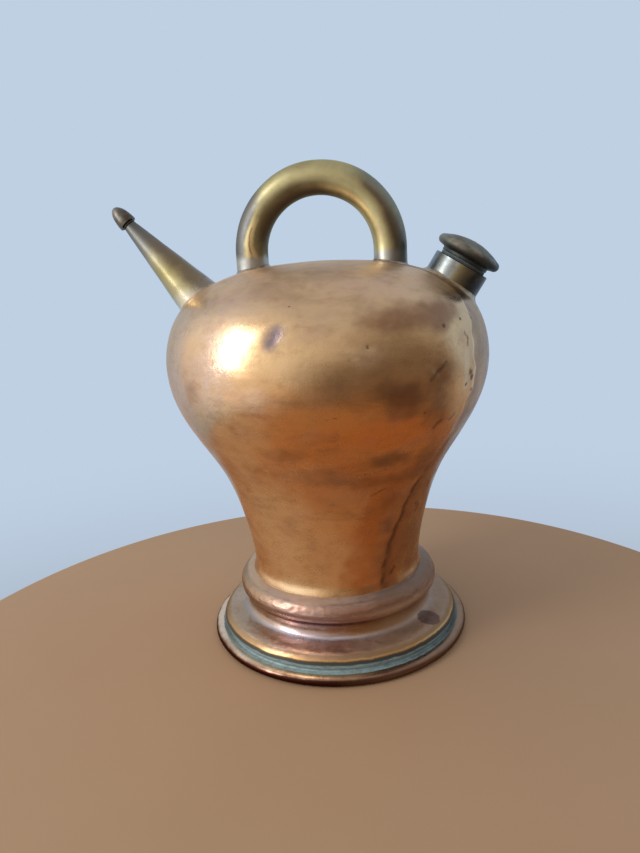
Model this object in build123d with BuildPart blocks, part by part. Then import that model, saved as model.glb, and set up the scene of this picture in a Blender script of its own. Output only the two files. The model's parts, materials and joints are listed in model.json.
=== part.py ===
from build123d import *
import os
from math import asin, cos, radians, sin

# Copper oil can with a hoop handle, a pouring spout and a screw-stoppered filler.
# Millimetres, +Z up. The origin is the centre of the flat bottom, on the axis of the can.
# The spout points to -X, the filler to +X, and the handle hoop stands in the XZ plane.

# ---- driving dimensions ----
FOOT_RADIUS = 80.0
SHEET = 1.0
BODY_STEPS = 20
CROWN_STEPS = 6
FOOT_STEPS = 40
BEAD_RADIUS = 2.8
BEAD_SHEET = 0.9
WIRE_GAP = 0.05
FLANGE_TOP = 5.6
BOTTOM_RADIUS = 74.2
BOTTOM_THICKNESS = 0.9

NECK_BOTTOM = (51.0, 34.0)
BODY_OUTLINE = [
    NECK_BOTTOM,
    (51.6, 47.0),
    (56.6, 76.4),
    (67.0, 106.6),
    (83.2, 134.1),
    (91.5, 153.6),
    (93.7, 169.0),
    (91.3, 185.7),
    (80.6, 204.0),
    (66.6, 213.5),
]
CROWN_EDGE = (53.0, 218.9)
CROWN_OUTLINE = [CROWN_EDGE, (38.0, 222.4), (20.0, 224.2), (0.0, 225.0)]
SHOULDER_SLOPE = (-0.955, 0.297)

FOOT_OUTLINE = [
    (51.2, 40.2),
    (54.6, 39.6),
    (59.0, 37.0),
    (61.6, 32.0),
    (60.4, 27.8),
    (57.4, 24.8),
    (56.6, 21.0),
    (58.6, 17.4),
    (64.0, 15.8),
    (70.0, 14.4),
    (72.8, 11.6),
    (73.8, 8.8),
    (72.4, 6.6),
    (71.9, 5.0),
]

HOOP_CENTRE = (-1.0, 229.8)
HOOP_RADIUS = 40.0
HOOP_TUBE = 9.6
HOOP_WALL = 1.5

SPOUT_TIP = (-113.7, 250.6)
SPOUT_RISE = 49.0
SPOUT_LENGTH = 57.0
SPOUT_ROOT_EXTRA = 14.0
SPOUT_TIP_RADIUS = 3.8
SPOUT_ROOT_RADIUS = 13.4
SPOUT_HOLE_RADIUS = 7.0

FILLER_RIM = (78.6, 218.7)
FILLER_TILT = 32.0
COLLAR_RADIUS = 16.0
COLLAR_BOTTOM = -17.0
COLLAR_BORE = 13.2
COLLAR_CHAMFER = 0.4

# ---- screw threads: a ridge on each core and in each bore, both of the same height ----
PLUG_CORE = 11.7
PLUG_THREAD_HEIGHT = 1.2
PLUG_PITCH = 3.0
COLLAR_THREAD_START = -14.2
COLLAR_TURNS = 4.0
PLUG_THREAD_START = COLLAR_THREAD_START + PLUG_PITCH / 2
PLUG_TURNS = 3.0
NIPPLE_CORE = 2.6
NIPPLE_THREAD_HEIGHT = 0.6
NIPPLE_PITCH = 2.0
NIPPLE_THREAD_START = 2.2
NIPPLE_TURNS = 2.5
CAP_BORE = 3.5
CAP_THREAD_START = NIPPLE_THREAD_START + NIPPLE_PITCH / 2
CAP_TURNS = 2.0
THREAD_ROOT_SHARE = 0.46
THREAD_CREST_SHARE = 0.18
RIDGE_SINK = 0.15

# ---- stopper: heights are above the collar's rim ----
HEAD_SEAT = 1.8
HEAD_NECK = (13.9, 3.6)
HEAD_LIP = (17.0, 4.3)
HEAD_RIM = (18.9, 6.6)
HEAD_BROW = (16.8, 9.9)
HEAD_TOP = 13.8
PLUG_BOTTOM = -14.0
PLUG_HOLLOW = 9.2
PLUG_HOLLOW_TOP = -2.0
SPIGOT_RADIUS = 6.0
SPIGOT_TOP = 6.5
WASHER_RADIUS = 13.4
WASHER_HOLE = 12.0
WASHER_TOP = 1.75
SEAT_GAP = 0.05

# ---- spout nipple and cap: heights are above the cone's tip ----
NIPPLE_BORE = 1.5
NIPPLE_SHANK = -5.0
NIPPLE_FLANGE = 0.8
NIPPLE_END = 8.0
CAP_RIM = (5.3, 1.1)
CAP_OUTLINE = [(5.3, 2.3), (4.9, 5.8), (3.9, 9.6), (2.2, 12.2), (0.0, 13.1)]
CAP_CAVITY_TOP = 9.3
DISC_RADIUS = 3.2
DISC_BOTTOM = 8.1

# ---- solder and brazing fillets ----
SOLDER_LEG = 1.8
SPOUT_SOLDER_TOP = -54.4
SPOUT_SOLDER_LOW = -61.0
SPOUT_SOLDER_OUT = 15.6
FILLER_SOLDER_TOP = -10.4
FILLER_SOLDER_LOW = -16.0
NECK_SOLDER_RISE = 2.4
NECK_SOLDER_REACH = 3.2
NECK_SOLDER_SINK = 0.6
BOTTOM_SOLDER_LOW = 0.3
BOTTOM_SOLDER_CREST = (BOTTOM_RADIUS + 0.7, 2.2)
BOTTOM_SOLDER_REACH = 1.7
BRAZE_REACH = 2.6
BRAZE_DEPTH = 2.4


def frame_at(point, lean_x, lean_z):
    """A frame whose z axis runs along (lean_x, 0, lean_z) through a point of the XZ plane."""
    return Plane(origin=(point[0], 0, point[1]), x_dir=(lean_z, 0, -lean_x), z_dir=(lean_x, 0, lean_z))


def section(frame):
    """The half-plane through a frame's axis: local x is the radius, local y the height."""
    return Plane(origin=frame.origin, x_dir=frame.x_dir, z_dir=-frame.y_dir)


def axis_of(frame):
    return Axis(frame.origin, frame.z_dir)


def height_on(frame, height):
    return frame.offset(height)


def inner_points(curve, thickness, count):
    """Points one sheet thickness to the left-hand side of a curve in the XY sketch plane."""
    points = []
    for step in range(count + 1):
        share = step / count
        point = curve.position_at(share)
        ahead = curve.tangent_at(share)
        points.append((point.X - ahead.Y * thickness, point.Y + ahead.X * thickness))
    return points


FILLER = frame_at(FILLER_RIM, sin(radians(FILLER_TILT)), cos(radians(FILLER_TILT)))
SPOUT = frame_at(SPOUT_TIP, -cos(radians(SPOUT_RISE)), sin(radians(SPOUT_RISE)))
UPRIGHT = Plane.XY
LEG_FRAMES = {
    "left": frame_at((HOOP_CENTRE[0] - HOOP_RADIUS, HOOP_CENTRE[1]), 0, 1),
    "right": frame_at((HOOP_CENTRE[0] + HOOP_RADIUS, HOOP_CENTRE[1]), 0, 1),
}

# ---- outlines of the raised copper sheet, as curves in a section plane ----
body_curve = Spline(*BODY_OUTLINE, CROWN_EDGE, tangents=[(0.05, 1), SHOULDER_SLOPE])
crown_curve = Spline(*CROWN_OUTLINE, tangents=[SHOULDER_SLOPE, (-1, 0)])
foot_curve = Spline(*FOOT_OUTLINE)
body_inside = inner_points(body_curve, SHEET, BODY_STEPS)
crown_inside = inner_points(crown_curve, SHEET, CROWN_STEPS)
foot_inside = inner_points(foot_curve, -SHEET, FOOT_STEPS)

# The outer skin of the whole vessel as one filled solid. It only trims what stands on the skin.
with BuildPart() as vessel_form:
    with BuildSketch(section(UPRIGHT)):
        with BuildLine():
            add(body_curve)
            add(crown_curve)
            Line(CROWN_OUTLINE[-1], (0, NECK_BOTTOM[1]))
            Line((0, NECK_BOTTOM[1]), NECK_BOTTOM)
        make_face()
    revolve(axis=Axis.Z)

# ---- vessel: seamed body, crown disc, stepped foot, bottom ----
with BuildPart() as body_shell:
    with BuildSketch(section(UPRIGHT)):
        with BuildLine():
            add(body_curve)
            Line(CROWN_EDGE, body_inside[-1])
            Spline(*reversed(body_inside))
            Line(body_inside[0], NECK_BOTTOM)
        make_face()
    revolve(axis=Axis.Z)
    with BuildSketch(height_on(FILLER, COLLAR_BOTTOM)):
        Circle(COLLAR_RADIUS)
    extrude(amount=-COLLAR_BOTTOM, mode=Mode.SUBTRACT)
    with BuildSketch(height_on(SPOUT, -SPOUT_LENGTH - SPOUT_ROOT_EXTRA)):
        Circle(SPOUT_HOLE_RADIUS)
    extrude(amount=2 * SPOUT_ROOT_EXTRA, mode=Mode.SUBTRACT)

with BuildPart() as crown_disc:
    with BuildSketch(section(UPRIGHT)):
        with BuildLine():
            add(crown_curve)
            Line(CROWN_OUTLINE[-1], (0, crown_inside[-1][1]))
            Spline(*reversed([crown_inside[0], *crown_inside[1:-1], (0, crown_inside[-1][1])]))
            Line(crown_inside[0], CROWN_EDGE)
        make_face()
    revolve(axis=Axis.Z)

bead_centre = (FOOT_RADIUS - BEAD_RADIUS, BEAD_RADIUS)
with BuildPart() as foot_shell:
    with BuildSketch(section(UPRIGHT)):
        with BuildLine():
            add(foot_curve)
            Line(FOOT_OUTLINE[-1], foot_inside[-1])
            Spline(*reversed(foot_inside))
            Line(foot_inside[0], FOOT_OUTLINE[0])
        make_face()
        with BuildLine():
            Polyline(
                (foot_inside[-1][0], FLANGE_TOP),
                (bead_centre[0], FLANGE_TOP),
                (bead_centre[0], FLANGE_TOP - BEAD_SHEET),
                (foot_inside[-1][0], FLANGE_TOP - BEAD_SHEET),
                close=True,
            )
        make_face()
        with Locations(bead_centre):
            Circle(BEAD_RADIUS)
            Circle(BEAD_RADIUS - BEAD_SHEET, mode=Mode.SUBTRACT)
    revolve(axis=Axis.Z)
    add(vessel_form.part, mode=Mode.SUBTRACT)

with BuildPart() as rim_wire:
    with BuildSketch(section(UPRIGHT)):
        with Locations(bead_centre):
            Circle(BEAD_RADIUS - BEAD_SHEET - WIRE_GAP)
    revolve(axis=Axis.Z)

with BuildPart() as bottom_plate:
    Cylinder(BOTTOM_RADIUS, BOTTOM_THICKNESS, align=(Align.CENTER, Align.CENTER, Align.MIN))

# ---- hoop handle: a bent tube standing on the crown ----
hoop_left = HOOP_CENTRE[0] - HOOP_RADIUS
hoop_right = HOOP_CENTRE[0] + HOOP_RADIUS
leg_start = CROWN_EDGE[1] - HOOP_TUBE
with BuildPart() as handle_hoop:
    with BuildLine(Plane.XZ) as hoop_path:
        Line((hoop_left, leg_start), (hoop_left, HOOP_CENTRE[1]))
        RadiusArc((hoop_left, HOOP_CENTRE[1]), (hoop_right, HOOP_CENTRE[1]), HOOP_RADIUS)
        Line((hoop_right, HOOP_CENTRE[1]), (hoop_right, leg_start))
    with BuildSketch(Plane.XY.offset(leg_start)):
        with Locations((hoop_left, 0)):
            Circle(HOOP_TUBE)
            Circle(HOOP_TUBE - HOOP_WALL, mode=Mode.SUBTRACT)
    sweep(path=hoop_path.line)
    add(vessel_form.part, mode=Mode.SUBTRACT)

# ---- spout: rolled brass cone with a threaded nipple in its tip ----
spout_slope = (SPOUT_ROOT_RADIUS - SPOUT_TIP_RADIUS) / SPOUT_LENGTH
root_height = -SPOUT_LENGTH - SPOUT_ROOT_EXTRA


def cone_radius(height):
    """Outer radius of the spout cone at a height (negative, towards the root) on its axis."""
    return SPOUT_TIP_RADIUS - height * spout_slope


with BuildPart() as spout_cone:
    with BuildSketch(section(SPOUT)):
        with BuildLine():
            Polyline(
                (SPOUT_TIP_RADIUS, 0),
                (cone_radius(root_height), root_height),
                (cone_radius(root_height) - SHEET, root_height),
                (SPOUT_TIP_RADIUS - SHEET, 0),
                close=True,
            )
        make_face()
    revolve(axis=axis_of(SPOUT))
    add(vessel_form.part, mode=Mode.SUBTRACT)


def thread_path(frame, start, turns, pitch, radius):
    """A right-handed helix about a frame's axis, rising outwards from a height on it."""
    return Helix(pitch, turns * pitch, radius, height_on(frame, start).origin, frame.z_dir)


def ridge_plane(path, frame, start, outwards):
    """The plane across a helix at its start: local x points away from the ridge's root."""
    away = (path @ 0 - height_on(frame, start).origin).normalized()
    return Plane(origin=path @ 0, x_dir=away * outwards, z_dir=path % 0)


def ridge_points(height, pitch):
    """A trapezium ridge, sunk a little into the wall that carries it."""
    root = pitch * THREAD_ROOT_SHARE / 2
    crest = pitch * THREAD_CREST_SHARE / 2
    return [(-RIDGE_SINK, -root), (height, -crest), (height, crest), (-RIDGE_SINK, root)]


nipple_shank_radius = SPOUT_TIP_RADIUS - SHEET - SEAT_GAP
with BuildPart() as spout_nipple:
    with BuildSketch(section(SPOUT)):
        with BuildLine():
            Polyline(
                (NIPPLE_BORE, NIPPLE_SHANK),
                (nipple_shank_radius, NIPPLE_SHANK),
                (nipple_shank_radius, 0),
                (SPOUT_TIP_RADIUS, 0),
                (SPOUT_TIP_RADIUS, NIPPLE_FLANGE),
                (NIPPLE_CORE, NIPPLE_FLANGE),
                (NIPPLE_CORE, NIPPLE_END),
                (NIPPLE_BORE, NIPPLE_END),
                close=True,
            )
        make_face()
    revolve(axis=axis_of(SPOUT))
    nipple_path = thread_path(SPOUT, NIPPLE_THREAD_START, NIPPLE_TURNS, NIPPLE_PITCH, NIPPLE_CORE)
    with BuildSketch(ridge_plane(nipple_path, SPOUT, NIPPLE_THREAD_START, 1)):
        Polygon(*ridge_points(NIPPLE_THREAD_HEIGHT, NIPPLE_PITCH), align=None)
    sweep(path=nipple_path, is_frenet=True)

# ---- filler: threaded collar let through the shoulder ----
with BuildPart() as filler_collar:
    with BuildSketch(section(FILLER)):
        with BuildLine():
            Polyline(
                (COLLAR_BORE, COLLAR_BOTTOM),
                (COLLAR_RADIUS, COLLAR_BOTTOM),
                (COLLAR_RADIUS, -COLLAR_CHAMFER),
                (COLLAR_RADIUS - COLLAR_CHAMFER, 0),
                (COLLAR_BORE, 0),
                close=True,
            )
        make_face()
    revolve(axis=axis_of(FILLER))
    collar_path = thread_path(FILLER, COLLAR_THREAD_START, COLLAR_TURNS, PLUG_PITCH, COLLAR_BORE)
    with BuildSketch(ridge_plane(collar_path, FILLER, COLLAR_THREAD_START, -1)):
        Polygon(*ridge_points(PLUG_THREAD_HEIGHT, PLUG_PITCH), align=None)
    sweep(path=collar_path, is_frenet=True)

# ---- stopper: domed head, threaded hollow plug and leather washer ----
with BuildPart() as stopper_plug:
    with BuildSketch(section(FILLER)):
        with BuildLine():
            Polyline(
                (0, PLUG_HOLLOW_TOP),
                (PLUG_HOLLOW, PLUG_HOLLOW_TOP),
                (PLUG_HOLLOW, PLUG_BOTTOM),
                (PLUG_CORE, PLUG_BOTTOM),
                (PLUG_CORE, HEAD_SEAT),
                (SPIGOT_RADIUS, HEAD_SEAT),
                (SPIGOT_RADIUS, SPIGOT_TOP),
                (0, SPIGOT_TOP),
                close=True,
            )
        make_face()
    revolve(axis=axis_of(FILLER))
    plug_path = thread_path(FILLER, PLUG_THREAD_START, PLUG_TURNS, PLUG_PITCH, PLUG_CORE)
    with BuildSketch(ridge_plane(plug_path, FILLER, PLUG_THREAD_START, 1)):
        Polygon(*ridge_points(PLUG_THREAD_HEIGHT, PLUG_PITCH), align=None)
    sweep(path=plug_path, is_frenet=True)

# The dome of the head is part of a sphere centred on the axis.
dome_rise = HEAD_TOP - HEAD_BROW[1]
dome_radius = (HEAD_BROW[0] ** 2 + dome_rise**2) / (2 * dome_rise)
half_angle = asin(HEAD_BROW[0] / dome_radius) / 2
dome_middle = (
    dome_radius * sin(half_angle),
    HEAD_TOP - dome_radius + dome_radius * cos(half_angle),
)
with BuildPart() as stopper_head:
    with BuildSketch(section(FILLER)):
        with BuildLine():
            Polyline((0, HEAD_SEAT), (HEAD_NECK[0], HEAD_SEAT), HEAD_NECK, HEAD_LIP)
            ThreePointArc(HEAD_LIP, HEAD_RIM, HEAD_BROW)
            ThreePointArc(HEAD_BROW, dome_middle, (0, HEAD_TOP))
            Line((0, HEAD_TOP), (0, HEAD_SEAT))
        make_face()
    revolve(axis=axis_of(FILLER))
    with BuildSketch(height_on(FILLER, HEAD_SEAT)):
        Circle(SPIGOT_RADIUS)
    extrude(amount=SPIGOT_TOP - HEAD_SEAT, mode=Mode.SUBTRACT)

with BuildPart() as stopper_washer:
    with BuildSketch(height_on(FILLER, SEAT_GAP)):
        Circle(WASHER_RADIUS)
        Circle(WASHER_HOLE, mode=Mode.SUBTRACT)
    extrude(amount=WASHER_TOP - SEAT_GAP)

# ---- spout cap with its leather disc ----
with BuildPart() as spout_cap:
    with BuildSketch(section(SPOUT)):
        with BuildLine():
            Polyline(
                (0, CAP_CAVITY_TOP),
                (CAP_BORE, CAP_CAVITY_TOP),
                (CAP_BORE, CAP_RIM[1]),
                CAP_RIM,
                CAP_OUTLINE[0],
            )
            Spline(*CAP_OUTLINE, tangents=[(0, 1), (-1, 0)])
            Line(CAP_OUTLINE[-1], (0, CAP_CAVITY_TOP))
        make_face()
    revolve(axis=axis_of(SPOUT))
    cap_path = thread_path(SPOUT, CAP_THREAD_START, CAP_TURNS, NIPPLE_PITCH, CAP_BORE)
    with BuildSketch(ridge_plane(cap_path, SPOUT, CAP_THREAD_START, -1)):
        Polygon(*ridge_points(NIPPLE_THREAD_HEIGHT, NIPPLE_PITCH), align=None)
    sweep(path=cap_path, is_frenet=True)

with BuildPart() as cap_washer:
    with BuildSketch(height_on(SPOUT, DISC_BOTTOM)):
        Circle(DISC_RADIUS)
    extrude(amount=CAP_CAVITY_TOP - SEAT_GAP - DISC_BOTTOM)

# ---- solder fillets: each fills the corner between two neighbours ----
leg_foot = CROWN_OUTLINE[1][1] - HOOP_CENTRE[1]
leg_solders = {}
for side, leg in LEG_FRAMES.items():
    with BuildPart() as leg_solder:
        with BuildSketch(section(leg)):
            Polygon(
                (HOOP_TUBE, leg_foot - 2 * SOLDER_LEG),
                (HOOP_TUBE + SOLDER_LEG, leg_foot - 2 * SOLDER_LEG),
                (HOOP_TUBE + SOLDER_LEG, leg_foot),
                (HOOP_TUBE, leg_foot + SOLDER_LEG),
                align=None,
            )
        revolve(axis=axis_of(leg))
        add(vessel_form.part, mode=Mode.SUBTRACT)
    leg_solders[side] = leg_solder

with BuildPart() as spout_solder:
    with BuildSketch(section(SPOUT)):
        Polygon(
            (cone_radius(SPOUT_SOLDER_TOP), SPOUT_SOLDER_TOP),
            (cone_radius(SPOUT_SOLDER_LOW), SPOUT_SOLDER_LOW),
            (SPOUT_SOLDER_OUT, SPOUT_SOLDER_LOW),
            (SPOUT_SOLDER_OUT, -SPOUT_LENGTH - SOLDER_LEG / 2),
            align=None,
        )
    revolve(axis=axis_of(SPOUT))
    add(vessel_form.part, mode=Mode.SUBTRACT)

with BuildPart() as filler_solder:
    with BuildSketch(section(FILLER)):
        Polygon(
            (COLLAR_RADIUS, FILLER_SOLDER_TOP),
            (COLLAR_RADIUS, FILLER_SOLDER_LOW),
            (COLLAR_RADIUS + SOLDER_LEG, FILLER_SOLDER_LOW),
            (COLLAR_RADIUS + SOLDER_LEG, FILLER_SOLDER_TOP - SOLDER_LEG),
            align=None,
        )
    revolve(axis=axis_of(FILLER))
    add(vessel_form.part, mode=Mode.SUBTRACT)

neck_radius = NECK_BOTTOM[0] - SHEET
foot_top = FOOT_OUTLINE[0][1]
with BuildPart() as neck_solder:
    with BuildSketch(section(UPRIGHT)):
        Polygon(
            (neck_radius, foot_top + NECK_SOLDER_RISE),
            (neck_radius + SHEET + NECK_SOLDER_REACH, foot_top),
            (neck_radius + SHEET + NECK_SOLDER_REACH, foot_top - NECK_SOLDER_SINK),
            (neck_radius, foot_top - NECK_SOLDER_SINK),
            align=None,
        )
    revolve(axis=Axis.Z)
    add(vessel_form.part, mode=Mode.SUBTRACT)
    add(foot_shell.part, mode=Mode.SUBTRACT)

with BuildPart() as bottom_solder:
    with BuildSketch(section(UPRIGHT)):
        Polygon(
            (BOTTOM_RADIUS, BOTTOM_SOLDER_LOW),
            (BOTTOM_RADIUS + BOTTOM_SOLDER_REACH, BOTTOM_SOLDER_LOW),
            BOTTOM_SOLDER_CREST,
            (BOTTOM_RADIUS - BOTTOM_SOLDER_REACH, BOTTOM_THICKNESS),
            (BOTTOM_RADIUS, BOTTOM_THICKNESS),
            align=None,
        )
    revolve(axis=Axis.Z)
    add(foot_shell.part, mode=Mode.SUBTRACT)

braze_radius, braze_height = CROWN_EDGE
with BuildPart() as crown_braze:
    with BuildSketch(section(UPRIGHT)):
        Polygon(
            (braze_radius - BRAZE_REACH, braze_height),
            (braze_radius + BRAZE_REACH, braze_height - SHEET),
            (braze_radius + BRAZE_REACH / 2, braze_height - BRAZE_DEPTH),
            (braze_radius - BRAZE_REACH, braze_height - SHEET),
            align=None,
        )
    revolve(axis=Axis.Z)
    with BuildSketch(height_on(FILLER, COLLAR_BOTTOM - SHEET)):
        Circle(COLLAR_RADIUS + SEAT_GAP)
    extrude(amount=-COLLAR_BOTTOM, mode=Mode.SUBTRACT)
    add(body_shell.part, mode=Mode.SUBTRACT)
    add(crown_disc.part, mode=Mode.SUBTRACT)

PARTS = {
    "body_shell": body_shell,
    "crown_disc": crown_disc,
    "crown_braze": crown_braze,
    "foot_shell": foot_shell,
    "neck_solder": neck_solder,
    "rim_wire": rim_wire,
    "bottom_plate": bottom_plate,
    "bottom_solder": bottom_solder,
    "handle_hoop": handle_hoop,
    "handle_solder_left": leg_solders["left"],
    "handle_solder_right": leg_solders["right"],
    "spout_cone": spout_cone,
    "spout_solder": spout_solder,
    "spout_nipple": spout_nipple,
    "spout_cap": spout_cap,
    "cap_washer": cap_washer,
    "filler_collar": filler_collar,
    "filler_solder": filler_solder,
    "stopper_plug": stopper_plug,
    "stopper_head": stopper_head,
    "stopper_washer": stopper_washer,
}
os.makedirs("parts", exist_ok=True)
for name, built in PARTS.items():
    built.part.label = name
    export_step(built.part, f"parts/{name}.step")
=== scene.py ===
import json
import math

import bmesh
import bpy
import numpy as np
from mathutils import Matrix, Vector, noise


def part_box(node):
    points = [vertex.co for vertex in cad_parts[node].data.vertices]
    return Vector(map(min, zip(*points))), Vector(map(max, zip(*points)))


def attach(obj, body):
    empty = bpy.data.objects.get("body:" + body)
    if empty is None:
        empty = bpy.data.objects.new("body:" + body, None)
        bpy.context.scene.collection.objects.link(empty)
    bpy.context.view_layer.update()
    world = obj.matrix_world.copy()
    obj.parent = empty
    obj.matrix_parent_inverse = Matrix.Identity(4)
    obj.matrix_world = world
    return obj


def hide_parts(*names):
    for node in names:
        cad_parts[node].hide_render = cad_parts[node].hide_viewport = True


# Looks of the copper oil can: hand-worked copper body and foot, brass hoop, spout and closures.
# Lengths named here are in millimetres, angles in degrees. Blender itself works in metres.

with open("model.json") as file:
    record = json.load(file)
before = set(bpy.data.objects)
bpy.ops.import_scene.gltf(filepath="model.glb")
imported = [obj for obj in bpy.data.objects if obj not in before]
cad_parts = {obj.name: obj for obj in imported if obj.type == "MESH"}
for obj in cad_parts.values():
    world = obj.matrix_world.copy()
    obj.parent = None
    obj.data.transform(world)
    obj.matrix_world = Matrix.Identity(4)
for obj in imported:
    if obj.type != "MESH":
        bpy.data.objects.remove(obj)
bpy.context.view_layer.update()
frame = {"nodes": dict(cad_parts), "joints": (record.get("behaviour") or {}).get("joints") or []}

MM = 0.001
TURN = 2 * math.pi

# ---- driving values of the hand-made surface ----
SKIN_SPACING = 1.25
CROWN_SPACING = 1.6
FOOT_SPACING = 0.75
SHEET = 1.0
HOOP_WALL = 1.5
LEG_SINK = 0.6
HAMMER_DEPTH = 0.42
FILLER_HOLE_MARGIN = 1.2
FILLER_HOLE_REACH = 40.0
SPOUT_HOLE_RADIUS = 7.0
SPOUT_HOLE_DEPTH = 60.0
SPOUT_HOLE_REACH = 20.0
SAME_POINT = 0.02  # points nearer than this are one
LOWEST_BAND = 0.4  # what counts as the bottom of a section
HALVINGS = 34
SEAM = [  # (azimuth, height) where the brazed seam changes direction
    (-17, 214), (-28, 184), (-28, 164), (-34, 116), (-46, 76), (-52, 52), (-52, 34),
]
SEAM_DEPTH = 0.22
SEAM_HALF_WIDTH = 0.8
SEAM_TOP = 212.0
# (azimuth, height, half width, half height, lean of its long side, depth)
DENTS = [
    (-98, 192, 3.6, 5.6, 25, 0.62), (-47, 170, 1.8, 6.4, -48, 0.5), (-70, 185, 1.2, 1.8, 10, 0.35),
    (-76, 171, 9, 5, 60, 0.22), (-60, 150, 12, 6, 80, 0.2), (-38, 183, 6, 9, 10, 0.22),
    (-112, 168, 8, 6, 30, 0.16), (60, 178, 7, 5, 40, 0.35), (118, 160, 5, 8, -30, 0.4),
    (168, 185, 9, 6, 15, 0.3), (95, 92, 6, 4, 70, 0.25),
]
NECK_FLARE = 1.7
WAVE_DEPTH = 0.35
RIPPLE_DEPTH = 0.12
PLANISH_SIZE = 11.0
PLANISH_DEPTH = 0.045
# soft patches of tarnish, partly painted light: those on the shoulder's right are a painted dark reflection,
# and those beside the window highlight a painted darkening of its glow: (azimuth, height, half width, half
# height, share)
BROWN_PATCHES = [
    (-58, 196, 23, 8, 0.72), (-44, 195, 12, 8, 0.62), (-36, 199, 10, 7, 0.62), (-60, 162, 17, 8, 0.68),
    (-131, 163, 10, 9, 0.45), (-93, 162, 17, 5, 0.38), (-44, 168, 9, 9, 0.52), (-60, 153, 14, 6, 0.5),
    (-46, 151, 12, 12, 0.62), (-60, 125, 18, 6, 0.62), (-40, 120, 10, 12, 0.55),
    (-62, 112, 28, 5, 0.42), (-90, 118, 20, 8, 0.4), (-100, 132, 14, 6, 0.42), (-112, 146, 16, 7, 0.25),
    (-52, 96, 12, 14, 0.42), (-52, 80, 5, 6, 0.45), (-50, 60, 10, 22, 0.4), (-106, 86, 7, 6, 0.35),
    (-97, 76, 5, 9, 0.22), (-118, 120, 7, 9, 0.22), (-70, 221.5, 22, 4, 0.25), (-8, 178, 14, 30, 0.35),
    (-14, 120, 14, 40, 0.45), (10, 120, 14, 12, 0.5), (48, 188, 20, 9, 0.5), (88, 112, 24, 8, 0.55),
    (130, 170, 20, 10, 0.45), (160, 74, 12, 16, 0.4), (-165, 150, 16, 12, 0.4),
]
# pale patches, the same columns: on the front, towards the window, mostly painted highlights and painted
# reflections of the lit table; on the back, paler tone
PALE_PATCHES = [
    (-120, 144, 28, 24, 0.85), (-118, 196, 28, 14, 0.2), (-90, 178, 18, 10, 0.35),
    (-82, 190, 12, 9, 0.4), (-71, 181, 10, 6, 0.85), (-118, 84, 26, 44, 0.9), (-92, 60, 22, 24, 0.4),
    (-37, 180, 5, 9, 0.55), (-33, 168, 3, 14, 0.4), (-111, 43, 13, 9, 0.95), (30, 200, 18, 8, 0.45),
    (105, 150, 22, 10, 0.5), (150, 195, 20, 10, 0.45), (120, 60, 20, 20, 0.45),
]
RED_PATCHES = [
    (-54, 84, 19, 42, 0.95), (-58, 48, 16, 12, 0.75), (-62, 141, 28, 10, 0.85), (-40, 120, 12, 22, 0.6),
    (-74, 120, 18, 9, 0.4), (70, 130, 30, 14, 0.6), (150, 60, 24, 16, 0.5),
]
# rosy patches, the same columns: round the window highlight they are its painted pinkish sheen; elsewhere
# rosy tone
ROSY_PATCHES = [
    (-122, 176, 16, 22, 0.92), (-140, 170, 18, 34, 0.8), (-116, 204, 22, 7, 0.45),
    (-105, 160, 12, 8, 0.4), (-60, 214, 30, 8, 0.45), (40, 160, 22, 16, 0.45), (175, 178, 26, 14, 0.45),
]
PATCHES = {  # each sort with the seed of its wandering edges
    "brown": (71, BROWN_PATCHES),
    "pale": (75, PALE_PATCHES),
    "red": (79, RED_PATCHES),
    "rosy": (83, ROSY_PATCHES),
}
# small dark pits: (azimuth, height, radius)
PITS = [
    (-32, 193, 1.0), (-42, 191, 1.0), (-31, 166, 1.9), (-30, 163, 1.6), (-33, 160, 1.1),
    (-29, 156, 1.2), (-51, 150, 0.9), (-31, 79, 0.8), (-70, 185, 1.1), (-94, 205, 0.6), (-115, 49, 0.6),
    (-75, 43, 0.6), (64, 140, 1.2), (142, 118, 1.4), (178, 182, 1.1),
]
# scratches and longer marks: (azimuth, height) at each end, and half width
SCRATCHES = [
    ((-44, 174), (-50, 167), 1.3), ((-24, 195), (-24, 192), 0.9), ((-32, 186), (-31, 183), 0.9),
    ((-31, 183), (-32, 180), 1.0), ((-36, 145), (-38, 142), 1.0), ((-43, 143), (-45, 140), 1.7),
    ((-32, 89), (-28, 86), 1.6), ((-29, 86), (-30, 83), 1.2), ((-25, 100), (-23, 96), 1.1),
    ((-43, 51), (-46, 48), 1.2), ((-58, 106), (-64, 103), 0.7), ((-84, 152), (-79, 153), 0.35),
    ((-74, 117), (-60, 119), 0.3), ((-110, 66), (-103, 63), 0.35), ((100, 176), (109, 169), 0.5),
    ((46, 96), (60, 99), 0.4),
]
# the violet bruise in the largest dent: (azimuth, height) at each end, and half width
BRUISE = [(-99, 189), (-97, 194)]
BRUISE_WIDTH = 4.5
# the dark spot on the foot's shelf: (azimuth, radius, height) and its size
FOOT_SPOT = (-27, 64, 15)
FOOT_SPOT_SIZE = 6.2

# ---- camera and light, in the can's frame ----
CAMERA_OUT = 401.8
CAMERA_HEIGHT = 226.8
CAMERA_AZIMUTH = 8.0
CAMERA_YAW = -0.93
CAMERA_PITCH = -14.0
CAMERA_ROLL = -3.1
LENS = 28.7
SENSOR = 36.0
LIGHT_TARGET = (0, 0, 0.17)  # in metres


# ---------------------------------------------------------------- frame helpers
def joint(name):
    return next(j for j in frame["joints"] if j["name"] == name)


def placed_on(origin, axis):
    """Local to row frame: local z is the axis, local y the row's y."""
    z = Vector(axis).normalized()
    y = Vector((0, 1, 0))
    return Matrix.Translation(origin) @ Matrix((y.cross(z), y, z)).transposed().to_4x4()


UPRIGHT = Matrix.Identity(4)
FILLER = placed_on(joint("stopper_turn")["pos_m"], joint("stopper_turn")["axis"])
SPOUT = placed_on(joint("cap_turn")["pos_m"], joint("cap_turn")["axis"])


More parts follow.
